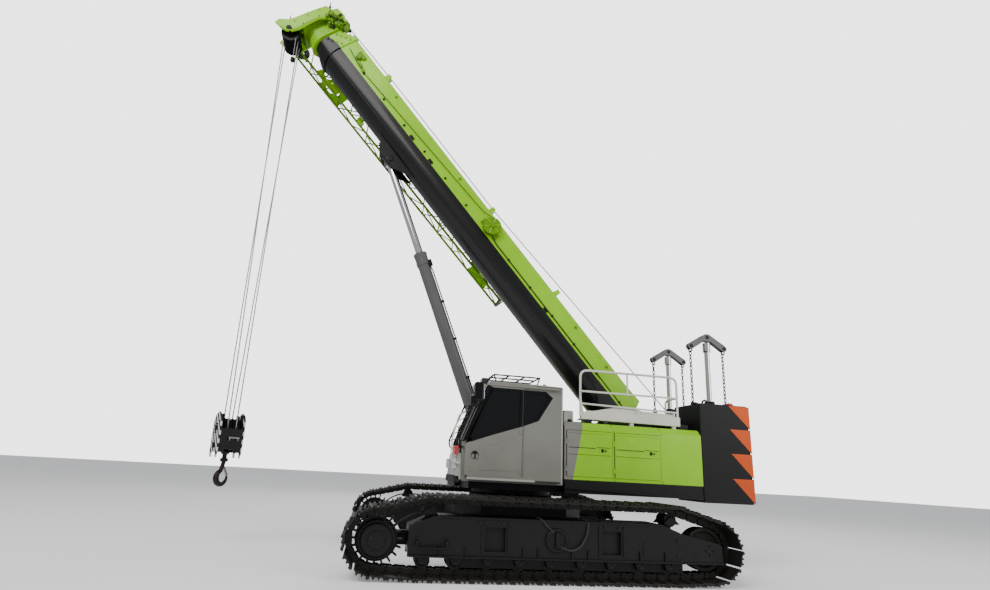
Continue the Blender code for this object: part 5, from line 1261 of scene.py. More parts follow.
class DressHood(bpy.types.Operator):
    """Adds the seams, pressed ribs, latches, louvres and roof fittings to the hood"""

    bl_idname = "crane.dress_hood"
    bl_label = "Dress the hood"

    def execute(self, context):
        across = Matrix.Scale(-1, 4, (0, 1, 0))
        for side, space in (("left", MACHINE), ("right", MACHINE @ across)):
            for place, front, rear in (("front", HOOD_SEAMS[0], HOOD_SEAMS[1]),
                                       ("rear", HOOD_SEAMS[1], HOOD_SEAMS[2])):
                self.dress_door(f"{side}_hood_door_{place}", front, rear, space)
        self.seams()
        self.right_side()
        self.roof()
        return {"FINISHED"}

    def dress_door(self, body, front, rear, space):
        y = HOOD_FACE
        # the first two strips are near-black strips set into the door face, painted shade for the inside of
        # its grooves; the third is the dark gap at the door's front edge
        groove = [block((rear + 0.33, y - 0.004, 1.945), (front - 0.05, y + 0.0015, 1.958), 0.0004, space),
                  block((rear + 0.06, y - 0.004, 1.965), (rear + 0.31, y + 0.0015, 1.975), 0.0004, space),
                  block((front - 0.016, y - 0.01, 1.48), (front - 0.004, y + 0.0012, 2.236), 0.0004, space)]
        joined(body + "_grooves", groove, "rubber", 30, body)
        finish = "hood_paint" if "left" in body else "lime_paint"
        rib = [(y - 0.004, 1.868), (y + 0.010, 1.862), (y + 0.012, 1.846), (y - 0.004, 1.832)]
        bead = plate(rib, rear + 0.05, front - 0.045, 0.003, space, "X")
        plate_rib = [(y - 0.004, 2.200), (y + 0.006, 2.196), (y - 0.004, 2.188)]
        upper = plate(plate_rib, rear + 0.05, front - 0.045, 0.0, space, "X")
        joined(body + "_ribs", [bead, upper], finish, 40, body)
        cup = surround([(rear + 0.09, 1.880), (rear + 0.285, 1.880), (rear + 0.285, 1.960),
                        (rear + 0.09, 1.960)], 0.012,
                       y - 0.003, y + 0.004, 0.002, space)
        joined(body + "_latch_cup", [cup], finish, 30, body)
        latch = [block((rear + 0.185, y - 0.002, 1.893), (rear + 0.225, y + 0.012, 1.948), 0.004, space),
                 rod((rear + 0.150, y, 1.920), (rear + 0.150, y + 0.010, 1.920), 0.016, 0.003, space, 18)]
        joined(body + "_latch", latch, "gloss_black", 30, body)
        hinges = []
        for z in (1.60, 2.05):
            hinges += [rod((front + 0.004, y + 0.006, z - 0.05), (front + 0.004, y + 0.006, z + 0.05),
                           0.008, 0.002, space, 14),
                       block((front - 0.045, y - 0.002, z - 0.04), (front, y + 0.004, z + 0.04), 0.001,
                             space)]
        joined(body + "_hinges", hinges, finish, 35, body)

    def seams(self):
        y = HOOD_FACE
        lines = [block((x - 0.004, y - 0.01, HOOD_LOW + 0.004), (x + 0.004, y + 0.0008, 1.478), 0.0004)
                 for x in HOOD_SEAMS[1:3]]
        lines += [block((x - 0.004, y - 0.01, 2.236), (x + 0.004, y + 0.0008, 2.278), 0.0004)
                  for x in HOOD_SEAMS[1:3]]
        lines += [plate([(y + 0.0008, 2.276), (y - 0.0985, 2.3812), (y - 0.108, 2.375), (y - 0.01, 2.27)],
                        x - 0.004, x + 0.004,
                        0.0, MACHINE, "X") for x in HOOD_SEAMS[1:3]]
        joined("hood_seams", mirrored(joined("lines", lines, "rubber")), "rubber", 30, SUPER)
        skirt = [(-3.055, 1.19), (-0.535, 1.27), (-0.535, HOOD_LOW), (-3.055, HOOD_LOW)]
        right = [(-3.055, 1.19), (0.84, 1.27), (0.84, HOOD_LOW), (-3.055, HOOD_LOW)]
        low = [plate(skirt, y - 0.028, y - 0.004, 0.006), plate(right, -y + 0.004, -y + 0.028, 0.006)]
        low.append(block((-3.066, 0.66, 1.20), (-3.056, y - 0.03, 2.34), 0.004))
        joined("hood_skirts", low, "dark_paint", 30, SUPER)

    def right_side(self):
        y = -HOOD_FACE
        slats = []
        for i in range(9):
            z = 1.62 + i * 0.066
            for x0, x1 in ((-0.42, 0.70), (-2.98, -2.42)):
                slats.append(plate([(y + 0.004, z), (y - 0.016, z + 0.008), (y - 0.018, z + 0.014),
                                    (y + 0.004, z + 0.046)],
                                   x0, x1, 0.0, MACHINE, "X"))
        joined("right_louvres", slats, "dark_paint", 25, SUPER)
        frames = [surround([(x0 - 0.04, 1.58), (x1 + 0.04, 1.58), (x1 + 0.04, 2.24), (x0 - 0.04, 2.24)],
                           0.035, y - 0.014, y + 0.003)
                  for x0, x1 in ((-0.42, 0.70), (-2.98, -2.42))]
        joined("louvre_frames", frames, "lime_paint", 30, SUPER)
        front = [block((0.852, -1.36, 1.52 + i * 0.085), (0.868, -0.78, 1.56 + i * 0.085), 0.004)
                 for i in range(8)]
        joined("radiator_grille", front, "dark_paint", 30, SUPER)

    def roof(self):
        z = HOOD_TOP
        dark = [block((-1.28, 0.80, z - 0.002), (-0.72, 1.16, z + 0.035), 0.012),
                block((-2.30, 1.00, z - 0.002), (-2.02, 1.20, z + 0.09), 0.012),
                block((-2.62, 0.78, z - 0.002), (-2.36, 1.10, z + 0.12), 0.02),
                block((-2.95, 0.90, z - 0.002), (-2.74, 1.30, z + 0.10), 0.015),
                block((-1.10, 1.21, z + 0.0), (-1.0, 1.31, z + 0.08), 0.008)]
        dark += [rod((-2.50, 0.94, z + 0.10), (-2.50, 0.94, z + 0.17), 0.055, 0.01),
                 rod((-0.70, 1.25, z - 0.01), (-0.70, 1.25, z + 0.055), 0.045, 0.008)]
        joined("hood_roof_boxes", dark, "dark_paint", 30, SUPER)
        grey = [block((-0.64, 0.80, z - 0.002), (-0.56, 1.34, z + 0.17), 0.02),
                block((-0.80, 1.02, z - 0.002), (-0.62, 1.20, z + 0.22), 0.02)]
        joined("hood_roof_valves", grey, "light_grey", 30, SUPER)
        stack = turned([(-0.45, 0.0), (-0.45, 0.14), (0.10, 0.14), (0.13, 0.12), (0.15, 0.06), (0.42, 0.06),
                        (0.42, 0.048), (0.16, 0.048)], (-1.9, -1.06, z + 0.02), (0, 0, 1), MACHINE, 32)
        joined("exhaust_stack", [stack], "bare_steel", 40, SUPER)
        mesh = [block((x, -1.36, z - 0.001), (x + 0.02, -0.74, z + 0.012), 0.002)
                for x in [-1.2 + 0.06 * i for i in range(18)]]
        mesh += [block((-1.24, yy, z - 0.001), (-0.14, yy + 0.03, z + 0.020), 0.004)
                 for yy in (-1.40, -0.74)]
        joined("roof_air_grille", mesh, "dark_paint", 30, SUPER)
        hoses = [tube([(-0.58, 0.95, z + 0.10), (-0.50, 0.86, z + 0.16), (-0.42, 0.72, z + 0.02),
                       (-0.36, 0.62, z - 0.35)], 0.018,
                      MACHINE, 10, 0.08),
                 tube([(-2.86, 1.0, z + 0.08), (-2.98, 0.86, z + 0.20), (-3.06, 0.70, z + 0.02),
                       (-3.05, 0.60, z - 0.3)], 0.022,
                      MACHINE, 10, 0.08),
                 tube([(-2.86, 1.12, z + 0.08), (-3.0, 1.02, z + 0.26), (-3.10, 0.80, z + 0.10),
                       (-3.08, 0.64, z - 0.3)], 0.022,
                      MACHINE, 10, 0.08)]
        joined("roof_hoses", hoses, "rubber", 40, SUPER)


class BuildHandrail(bpy.types.Operator):
    """Bends the handrail's tubes and builds the walkway beam under them"""

    bl_idname = "crane.build_handrail"
    bl_label = "Build the handrail"

    def execute(self, context):
        radius = context.scene.crane_sizes.rail_tube / 2
        y, front, rear = 1.26, -0.90, -2.77
        rails = [tube([(front - 0.05, y, 2.55), (front, y, 2.80), (front, y, 3.335), (rear, y, 3.335),
                       (rear, y, 2.50)], radius,
                      MACHINE, 12, 0.14),
                 tube([(front, y, 2.955), (rear, y, 2.955)], radius * 0.85, MACHINE, 12),
                 tube([(front, y, 2.735), (rear, y, 2.690)], radius * 0.80, MACHINE, 12),
                 tube([(-1.80, y, 3.33), (-1.80, y, 2.955)], radius * 0.85, MACHINE, 12),
                 tube([(front, y, 2.95), (front, y, 2.50)], radius, MACHINE, 12),
                 tube([(rear, y, 2.955), (rear - 0.0, y - 0.40, 2.955), (rear, y - 0.40, 2.50)],
                      radius * 0.85, MACHINE, 12, 0.1)]
        made = joined("handrail_tubes", rails, "rail_paint", 50, SUPER)
        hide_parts("handrail")
        outline = [(-0.90, 2.455), (-2.79, 2.440), (-2.79, 2.605), (-1.80, 2.610), (-1.02, 2.610),
                   (-0.90, 2.54)]
        beam = [plate(outline, y - 0.045, y + 0.05, 0.010),
                plate([(-1.06, 2.60), (-1.55, 2.70), (-2.74, 2.655), (-2.74, 2.60)],
                      y - 0.04, y - 0.02, 0.003)]
        beam += [block((x - 0.035, y - 0.03, HOOD_TOP - 0.002), (x + 0.035, y + 0.03, 2.47), 0.006)
                 for x in (-1.06, -1.86, -2.68)]
        beam.append(turned([(0, 0), (0, 0.05), (0.02, 0.05), (0.024, 0.035), (0.012, 0.03), (0.012, 0)],
                           (-2.03, y - 0.022, 2.64), (0, 1, 0), MACHINE, 24))
        joined("walkway_beam", beam, "rail_paint", 35, SUPER)
        deck = [block((-2.78, 0.86, 2.475), (-1.0, y - 0.05, 2.50), 0.004)]
        joined("walkway_deck", deck, "tread_plate", 30, SUPER)
        return {"FINISHED"}


WEIGHT = "counterweight"
LIFT = (-3.797, 0.724)
YOKE_Z = 4.275


class DressCounterweight(bpy.types.Operator):
    """Adds the warning teeth, lamps and eyes to the counterweight"""

    bl_idname = "crane.dress_counterweight"
    bl_label = "Dress the counterweight"

    def execute(self, context):
        y, rear, top, low = 1.43, -4.12, 2.885, 1.147
        step = (top - low) / 4
        teeth = []
        for i in range(4):
            z = top - i * step
            high = z - (0.016 if i == 0 else 0.004)
            points = [(-3.69, high), (rear + 0.018, high), (rear + 0.018, z - step + 0.022),
                      (rear + 0.025, z - step + 0.016)]
            teeth.append(plate(points, y - 0.004, y + 0.0022, 0.0004))
        painted = mirrored(joined("tooth", teeth, "orange_paint"))
        bands = []
        for i in range(4):
            z = top - i * step
            for sign in BOTH:
                outline = [(sign * 1.40, z - 0.02), (sign * 0.96, z - 0.02), (sign * 1.40, z - step + 0.01)]
                bands.append(plate(outline, rear - 0.0022, rear + 0.004, 0.0004, MACHINE, "X"))
        joined("warning_teeth", painted + bands, "orange_paint", 30, WEIGHT)
        seams = [block((rear - 0.001, -1.40, top - i * step - 0.004),
                       (rear + 0.01, 1.40, top - i * step + 0.004), 0.0004)
                 for i in (1, 2, 3)]
        joined("counterweight_seams", seams, "rubber", 30, WEIGHT)
        eyes = []
        for x, yy in ((-3.36, 1.22), (-3.36, -1.22), (-3.98, 0.98), (-3.98, -0.98)):
            eyes.append(tube([(x - 0.055, yy, top - 0.02), (x - 0.055, yy, top + 0.055),
                              (x, yy, top + 0.095), (x + 0.055, yy, top + 0.055),
                              (x + 0.055, yy, top - 0.02)], 0.018, MACHINE, 10, 0.05))
        eyes += [turned([(0, 0), (0, 0.06), (0.02, 0.055), (0.035, 0.02), (0.035, 0)], (-3.14, yy, top),
                        (0, 0, 1), MACHINE, 20)
                 for yy in (1.25, -1.25)]
        joined("counterweight_eyes", eyes, "dark_paint", 40, WEIGHT)
        lamps = [block((-3.84, yy - 0.05, top - 0.002), (-3.74, yy + 0.05, top + 0.05), 0.016)
                 for yy in (1.32, -1.32)]
        lamps += [block((rear - 0.012, yy - 0.07, 1.30), (rear + 0.002, yy + 0.07, 1.36), 0.005)
                  for yy in (0.75, -0.75)]
        joined("rear_lamps", lamps, "red_lens", 30, WEIGHT)
        return {"FINISHED"}


def chain_links(top, bottom, pitch=0.074):
    """A chain of oval links hanging between two points, every other one turned."""
    a, b = Vector(top), Vector(bottom)
    count = max(2, int((b - a).length / pitch))
    half, long_half, wire = 0.021, 0.034, 0.011
    oval = [(half * math.cos(t), 0, long_half * math.sin(t) + (0.012 if math.sin(t) > 0 else -0.012))
            for t in [math.tau * i / 10 for i in range(10)]]
    link = tube(oval, wire, HERE, 5, 0, True)
    turn = (b - a).to_track_quat("Z", "Y").to_matrix().to_4x4()
    places = []
    for i in range(count):
        at = Matrix.Translation(a.lerp(b, (i + 0.5) / count))
        places.append(MACHINE @ at @ turn @ Matrix.Rotation(math.pi / 2 * (i % 2), 4, "Z"))
    return copies(link, places)


class HangLiftChains(bpy.types.Operator):
    """Builds the yokes, pins, rods and chains that lift the counterweight"""

    bl_idname = "crane.hang_lift_chains"
    bl_label = "Hang the lift chains"

    def execute(self, context):
        x, y = LIFT
        z = YOKE_Z
        outline = []
        for cx, cz, r, start, end in ((x + 0.36, z - 0.15, 0.065, -1.9, 1.05),
                                      (x, z + 0.0, 0.128, 1.05, 2.09),
                                      (x - 0.36, z - 0.15, 0.065, 2.09, 5.04)):
            outline += [(cx + r * math.cos(start + (end - start) * i / 6),
                         cz + r * math.sin(start + (end - start) * i / 6))
                        for i in range(7)]
        outline += [(x - 0.07, z - 0.03), (x + 0.07, z - 0.03)]
        for side, letter in ((1, "l"), (-1, "r")):
            space = MACHINE @ Matrix.Scale(side, 4, (0, 1, 0))
            cheeks = [plate(outline, yy, yy + 0.022, 0.005, space) for yy in (y - 0.052, y + 0.030)]
            made = joined("lift_yoke_" + letter, cheeks, "yoke_grey", 40, WEIGHT)
            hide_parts("lift_mast_" + letter)
            pins = [rod((px, y - 0.062, pz), (px, y + 0.064, pz), 0.034, 0.005, space, 20)
                    for px, pz in ((x + 0.36, z - 0.15), (x, z + 0.055), (x - 0.36, z - 0.15))]
            pins += [tube([(px - 0.035, y, z - 0.15), (px - 0.035, y, z - 0.24), (px, y, z - 0.27),
                           (px + 0.035, y, z - 0.24), (px + 0.035, y, z - 0.15)], 0.014, space, 8, 0.03)
                     for px in (x - 0.36, x + 0.36)]
            joined("yoke_pins_" + letter, pins, "dark_paint", 40, WEIGHT)
            bar = turned([(0.0, 0.0), (0.0, 0.050), (1.90, 0.050), (1.92, 0.075), (2.09, 0.075),
                          (2.10, 0.03), (2.16, 0.0)],
                         (x, y, 2.12), (0, 0, 1), space, 28)
            joined("lift_rod_" + letter, [bar], "chrome", 40, WEIGHT)
            barrel = turned([(1.455, 0.0), (1.455, 0.085), (2.96, 0.085), (2.965, 0.098), (3.02, 0.098),
                             (3.03, 0.088), (3.03, 0.056), (2.5, 0.056)], (x, y, 0), (0, 0, 1), space, 32)
            made = joined("lift_barrel_" + letter, [barrel], "dark_paint", 40, SUPER)
            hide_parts("lift_cylinder_" + letter)
            links = []
            for px in (x + 0.36, x - 0.345):
                bottom = 2.90 if px < x else 2.86
                links += chain_links((px, side * y, z - 0.25), (px, side * y, bottom))
            joined("lift_chains_" + letter, links, "chain_steel", 60, WEIGHT)
            lugs = [plate([(px - 0.07, 2.80), (px + 0.07, 2.80), (px + 0.045, 2.925), (px - 0.045, 2.925)],
                          y - 0.02, y + 0.02,
                          0.008, space) for px in (x + 0.36, x - 0.30)]
            joined("chain_lugs_" + letter, lugs, "dark_paint", 35, WEIGHT)
        return {"FINISHED"}


# ---------------------------------------------------------------- boom, head and jib
BOOM_HALF = 0.35
BOOM_TOP_N = 0.44
BOOM_LOW_N = -0.42
COLLAR_STEP = 0.1103
SECTION_STEP = 0.04
HEAD_HALF = 0.30
HEAD_SHEAVE = (10.83, -0.63)
TOP_SHEAVE = (10.74, 0.44)
GUIDES = (3.0, 5.2, 8.9)
TIP = "boom_section_5"


def sheave_profile(radius=0.19, pitch=0.15, half=0.026):
    """A grooved rope sheave with a hub and a thin web."""
    return [(-half - 0.010, 0.052), (-half - 0.010, 0.085), (-half * 0.35, 0.090),
            (-half * 0.35, pitch - 0.035), (-half, pitch - 0.020), (-half, radius), (-half * 0.75, radius),
            (-half * 0.4, pitch + 0.006), (0, pitch - 0.006), (half * 0.4, pitch + 0.006),
            (half * 0.75, radius), (half, radius), (half, pitch - 0.020), (half * 0.35, pitch - 0.035),
            (half * 0.35, 0.090), (half + 0.010, 0.085), (half + 0.010, 0.052)]


class DressBoom(bpy.types.Operator):
    """Adds the rope guides, cable reel, pads, stops and bolts along the boom"""

    bl_idname = "crane.dress_boom"
    bl_label = "Dress the boom"

    def execute(self, context):
        guides = []
        for s in GUIDES:
            guides += [plate([(s - 0.06, BOOM_TOP_N - 0.01), (s + 0.06, BOOM_TOP_N - 0.01),
                              (s + 0.045, BOOM_TOP_N + 0.155), (s - 0.045, BOOM_TOP_N + 0.155)], y,
                             y + 0.012, 0.003, BOOM) for y in (0.115, 0.168, 0.243)]
            guides.append(block((s - 0.09, 0.10, BOOM_TOP_N - 0.004), (s + 0.09, 0.27, BOOM_TOP_N + 0.012),
                                0.004, BOOM))
        joined("rope_guides", guides, "lime_paint", 30, "boom")
        rollers = [turned([(0, 0), (0, 0.035), (0.010, 0.035), (0.02, 0.024), (0.036, 0.024),
                           (0.046, 0.035), (0.056, 0.035), (0.056, 0)], (s, 0.122, BOOM_TOP_N + 0.115),
                          (0, 1, 0), BOOM, 20) for s in GUIDES]
        joined("rope_guide_rollers", rollers, "bare_steel", 40, "boom")
        self.reel()
        self.fittings()
        self.collars()
        return {"FINISHED"}

    def reel(self):
        s, n, y = 4.86, 0.20, BOOM_HALF
        disc = [turned([(0.03, 0), (0.03, 0.185), (0.045, 0.190), (0.055, 0.185), (0.055, 0.13),
                        (0.115, 0.13), (0.115, 0.185), (0.13, 0.190), (0.14, 0.185), (0.14, 0.06),
                        (0.175, 0.05), (0.18, 0.0)], (s, y, n), (0, 1, 0), BOOM, 36)]
        disc += [rod((s, y - 0.01, n), (s, y + 0.05, n), 0.07, 0.004, BOOM)]
        disc.append(block((s - 0.24, y - 0.005, n - 0.10), (s + 0.24, y + 0.035, n + 0.02), 0.008, BOOM))
        # the reel's body takes the darkened lime as painted shade; its spokes keep the plain lime
        joined("cable_reel", disc, "lime_painted_shade", 35, "boom")
        wound = turned([(0.058, 0.13), (0.062, 0.158), (0.072, 0.162), (0.082, 0.158), (0.092, 0.162),
                        (0.104, 0.158), (0.112, 0.13)], (s, y, n), (0, 1, 0), BOOM, 36)
        joined("reel_cable", [wound], "rubber", 40, "boom")
        spokes = []
        for i in range(6):
            turn = math.tau * i / 6
            spokes.append(rod((s + 0.05 * math.cos(turn), y + 0.146, n + 0.05 * math.sin(turn)),
                              (s + 0.175 * math.cos(turn), y + 0.146, n + 0.175 * math.sin(turn)), 0.009, 0,
                              BOOM, 8))
        joined("reel_spokes", spokes, "lime_paint", 40, "boom")
        leads = [tube([(s + 0.1, y + 0.085, n + 0.15), (s + 0.4, y + 0.03, n + 0.08),
                       (9.15, y + 0.02, 0.08), (9.45, y + 0.03, 0.10), (9.8, y + 0.04, 0.16)], 0.007, BOOM,
                      8, 0.1),
                 tube([(0.35, y + 0.012, 0.07), (4.55, y + 0.012, 0.07), (4.75, y + 0.03, 0.11)], 0.012,
                      BOOM, 8, 0.05)]
        joined("boom_cables", leads, "rubber", 40, "boom")
        clips = [block((0.5 + i * 0.72, y - 0.004, 0.048), (0.53 + i * 0.72, y + 0.030, 0.096), 0.003, BOOM)
                 for i in range(13)]
        joined("cable_clips", clips, "dark_paint", 30, "boom")

    def fittings(self):
        y = BOOM_HALF
        lumps = [turned([(0, 0), (0, 0.075), (0.02, 0.075), (0.03, 0.05), (0.07, 0.045), (0.07, 0)],
                        (9.52, y - 0.004, 0.20), (0, 1, 0), BOOM, 28),
                 turned([(0, 0), (0, 0.038), (0.05, 0.036), (0.055, 0)], (9.20, y - 0.004, 0.09), (0, 1, 0),
                        BOOM, 22),
                 block((9.42, y - 0.004, 0.24), (9.62, y + 0.04, 0.33), 0.01, BOOM),
                 block((9.30, y - 0.004, 0.10), (9.42, y + 0.03, 0.16), 0.008, BOOM)]
        lumps += [turned([(0, 0), (0, 0.03), (0.02, 0.028), (0.024, 0)], (s, y - 0.004, 0.33), (0, 1, 0),
                         BOOM, 16)
                  for s in (8.35, 6.1, 2.2, 1.2)]
        # the fittings take the darkened lime as painted shade
        joined("boom_fittings", lumps, "lime_painted_shade", 35, "boom")
        dark = [block((s - 0.06, y - 0.004, 0.015), (s + 0.06, y + 0.022, 0.075), 0.006, BOOM)
                for s in (2.85, 6.75, 7.4)]
        dark += bolt_circle((9.52, y + 0.026, 0.20), 0.055, 8, "Y", 0.018, 0.008, BOOM)
        joined("boom_boxes", dark, "dark_paint", 30, "boom")
        welds = [block((0.50, y - 0.006, BOOM_LOW_N + 0.135), (9.90, y + 0.004, BOOM_LOW_N + 0.143), 0.002,
                       BOOM),
                 block((0.50, y - 0.006, 0.325), (9.90, y + 0.003, 0.333), 0.001, BOOM)]
        joined("boom_welds", mirrored_in_boom(welds), "boom_paint", 30, "boom")
        ring = turned([(0, 0.100), (0, 0.185), (0.025, 0.185), (0.030, 0.178), (0.030, 0.100)],
                      (0, BOOM_HALF + 0.008, 0), (0, 1, 0), BOOM, 40)
        heads = bolt_circle((0, BOOM_HALF + 0.038, 0), 0.155, 10, "Y", 0.028, 0.012, BOOM)
        joined("boom_foot_bosses", mirrored_in_boom([ring] + heads), "dark_paint", 35, "boom")
        eye = (7.33, -0.56)
        pin = [turned([(0, 0), (0, 0.075), (0.022, 0.075), (0.027, 0.05), (0.035, 0.05), (0.035, 0)],
                      (eye[0], 0.146, eye[1]), (0, 1, 0), BOOM, 28)]
        gusset = [(eye[0] - 0.62, BOOM_LOW_N + 0.02), (eye[0] + 0.62, BOOM_LOW_N + 0.02),
                  (eye[0] + 0.20, eye[1] - 0.08), (eye[0] - 0.20, eye[1] - 0.08)]
        pin.append(plate(gusset, 0.150, 0.166, 0.004, BOOM))
        joined("luff_eye_plates", mirrored_in_boom(pin), "dark_paint", 35, "boom")

    def collars(self):
        """Ribs and pads on each collar, riding with its own section."""
        bodies = ["boom", "boom_section_2", "boom_section_3", "boom_section_4", "boom_section_5"]
        for i, body in enumerate(bodies):
            s = 9.925 + COLLAR_STEP * i
            half = BOOM_HALF - SECTION_STEP * i + 0.024
            top = BOOM_TOP_N - SECTION_STEP * i + 0.024
            ribs = [block((s + 0.030, half - 0.008, n), (s + 0.080, half + 0.012, n + 0.075), 0.006, BOOM)
                    for n in (top - 0.20, top - 0.42)]
            ribs += [block((s + 0.030, y, top - 0.008), (s + 0.080, y + 0.09, top + 0.012), 0.006, BOOM)
                     for y in (0.10, -0.19)]
            joined(f"collar_ribs_{i + 1}", mirrored_in_boom(ribs), "boom_paint", 30, body)
            heads = [bolts([(s + 0.055, half + 0.016, top - 0.165), (s + 0.055, half + 0.016, top - 0.385)],
                           (0, 1, 0), 0.022,
                           0.009, BOOM)]
            joined(f"collar_bolts_{i + 1}", mirrored_in_boom(flat_list(heads)), "dark_paint", 30, body)


def mirrored_in_boom(shapes):
    """Shapes on the boom's left side and their twins on its right."""
    twin = Matrix.Scale(-1, 4, (0, 1, 0))
    made = []
    for shape in flat_list(shapes):
        made += copies(shape, [Matrix(), twin])
    return made


HEAD_PLATE = [(11.15, -0.79), (11.18, -0.67), (11.06, -0.48), (11.045, -0.18), (11.03, 0.10), (11.00, 0.38),
              (10.86, 0.42), (10.83, 0.55), (10.62, 0.59), (10.44, 0.52), (10.44, 0.30), (10.60, 0.29),
              (10.72, 0.20), (10.785, 0.06), (10.785, -0.16), (10.77, -0.31), (10.765, -0.46),
              (10.79, -0.60), (10.85, -0.70), (10.98, -0.765)]


def section_outline(half, top, low):
    """A boom section across its length: square shoulders above and half round below."""
    middle, cut = low + half, 0.04
    arc = [(-half * math.cos(math.pi * i / 18), middle - half * math.sin(math.pi * i / 18))
           for i in range(19)]
    return [(half, top - cut), (half - cut, top), (cut - half, top), (-half, top - cut)] + arc


class DressHead(bpy.types.Operator):
    """Builds the boom's head: side plates, nose rings, sheaves, horns and instruments"""

    bl_idname = "crane.dress_head"
    bl_label = "Build the boom head"

    def execute(self, context):
        y = HEAD_HALF
        lip = [tube([(s - 0.012, y + out, n) for s, n in HEAD_PLATE[11:]], 0.019, BOOM, 10)
               for out in (0.006, 0.026)]
        shapes = lip + [plate(HEAD_PLATE, y - 0.03, y, 0.005, BOOM),
                        plate([(10.84, 0.40), (10.66, 0.42), (10.66, 0.56), (10.80, 0.545)], y, y + 0.03,
                              0.005, BOOM)]
        made = joined("head_plates", mirrored_in_boom(shapes), "lime_paint", 35, TIP)
        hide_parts("boom_head")
        seams = [tube([(s + 0.028, y + 0.003, n) for s, n in HEAD_PLATE[12:]], 0.010, BOOM, 8),
                 tube([(10.76, y + 0.003, 0.20), (10.80, y + 0.003, 0.30), (10.86, y + 0.003, 0.40)], 0.008,
                      BOOM, 8)]
        joined("head_seams", mirrored_in_boom(seams), "dark_paint", 30, TIP)
        rings = []
        for i in range(5):
            s, less = 10.385 + 0.058 * i, 0.022 * i
            rings.append(plate(section_outline(0.300 - less, 0.30, -0.40 + less), s, s + 0.034, 0.007, BOOM,
                               "X"))
        joined("nose_rings", rings, "lime_paint", 40, TIP)
        core = [plate(section_outline(0.205, 0.30, -0.33), 10.36, 10.76, 0.01, BOOM, "X"),
                block((10.74, -y + 0.03, -0.36), (10.765, y - 0.03, 0.30), 0.004, BOOM),
                block((10.985, -y + 0.03, -0.40), (11.01, y - 0.03, 0.36), 0.006, BOOM),
                block((10.50, -y + 0.03, 0.40), (10.84, y - 0.03, 0.425), 0.004, BOOM)]
        core += [block((10.76, yy, -0.40), (10.99, yy + 0.02, 0.30), 0.004, BOOM) for yy in (-0.16, 0.14)]
        # the nose core behind the sheaves takes the darkened lime as painted shade
        joined("nose_core", core, "lime_painted_shade", 35, TIP)
        heads = bolt_circle((TOP_SHEAVE[0] - 0.02, y + 0.0, TOP_SHEAVE[1] + 0.01), 0.075, 6, "Y", 0.024,
                            0.016, BOOM)
        heads += bolts([(10.97, y, -0.42), (10.97, y, -0.10), (10.97, y, 0.20), (10.84, y, -0.30),
                        (10.84, y, 0.10), (10.50, y, 0.47), (10.50, y, 0.35)], (0, 1, 0), 0.024, 0.012,
                       BOOM)
        heads += [rod((10.86, y - 0.002, -0.63), (10.86, y + 0.05, -0.63), 0.058, 0.01, BOOM),
                  rod((10.86, y + 0.048, -0.63), (10.86, y + 0.06, -0.63), 0.03, 0.004, BOOM)]
        joined("head_bolts", mirrored_in_boom(heads), "dark_paint", 35, TIP)
        s, n = HEAD_SHEAVE
        wheels = [turned(sheave_profile(), (s, yy, n), (0, 1, 0), BOOM, 44)
                  for yy in (-0.10, 0.10, -0.20, 0.20, 0.0)]
        wheels.append(rod((s, -y - 0.03, n), (s, y + 0.03, n), 0.05, 0.004, BOOM))
        made = joined("head_rope_sheaves", wheels, "dark_paint", 40, "head_sheaves")
        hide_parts("head_sheaves")
        s, n = TOP_SHEAVE
        top = [turned(sheave_profile(), (s, yy, n), (0, 1, 0), BOOM, 44) for yy in (-0.06, 0.06)]
        made = joined("top_rope_sheave", top, "dark_paint", 40, TIP)
        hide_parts("top_sheave")
        self.instruments()
        return {"FINISHED"}

    def instruments(self):
        y = HEAD_HALF
        lumps = []
        for s, n, radius, reach in ((10.72, 0.22, 0.062, 0.11), (10.62, 0.36, 0.075, 0.09),
                                    (10.50, 0.44, 0.060, 0.13), (10.46, 0.27, 0.055, 0.10),
                                    (10.56, 0.17, 0.050, 0.08), (10.40, 0.36, 0.045, 0.12)):
            lumps.append(turned([(0, 0), (0, radius), (0.02, radius), (0.03, radius * 0.7),
                                 (reach - 0.02, radius * 0.65), (reach, radius * 0.5), (reach, 0)],
                                (s, y - 0.02, n), (0, 1, 0), BOOM, 24))
        lumps += [block((10.36, 0.10, 0.30), (10.52, 0.26, 0.44), 0.02, BOOM),
                  block((10.30, 0.16, 0.38), (10.42, 0.27, 0.52), 0.014, BOOM),
                  block((10.44, 0.02, 0.50), (10.60, 0.20, 0.62), 0.02, BOOM),
                  block((10.66, y, 0.28), (10.76, y + 0.07, 0.36), 0.012, BOOM),
                  tube([(10.70, y + 0.06, 0.22), (10.66, y + 0.12, 0.32), (10.52, y + 0.12, 0.40),
                        (10.40, y + 0.05, 0.34)], 0.016, BOOM, 10, 0.04),
                  tube([(10.62, y + 0.05, 0.36), (10.58, y + 0.10, 0.22), (10.46, y + 0.08, 0.20)], 0.014,
                       BOOM, 10, 0.04)]
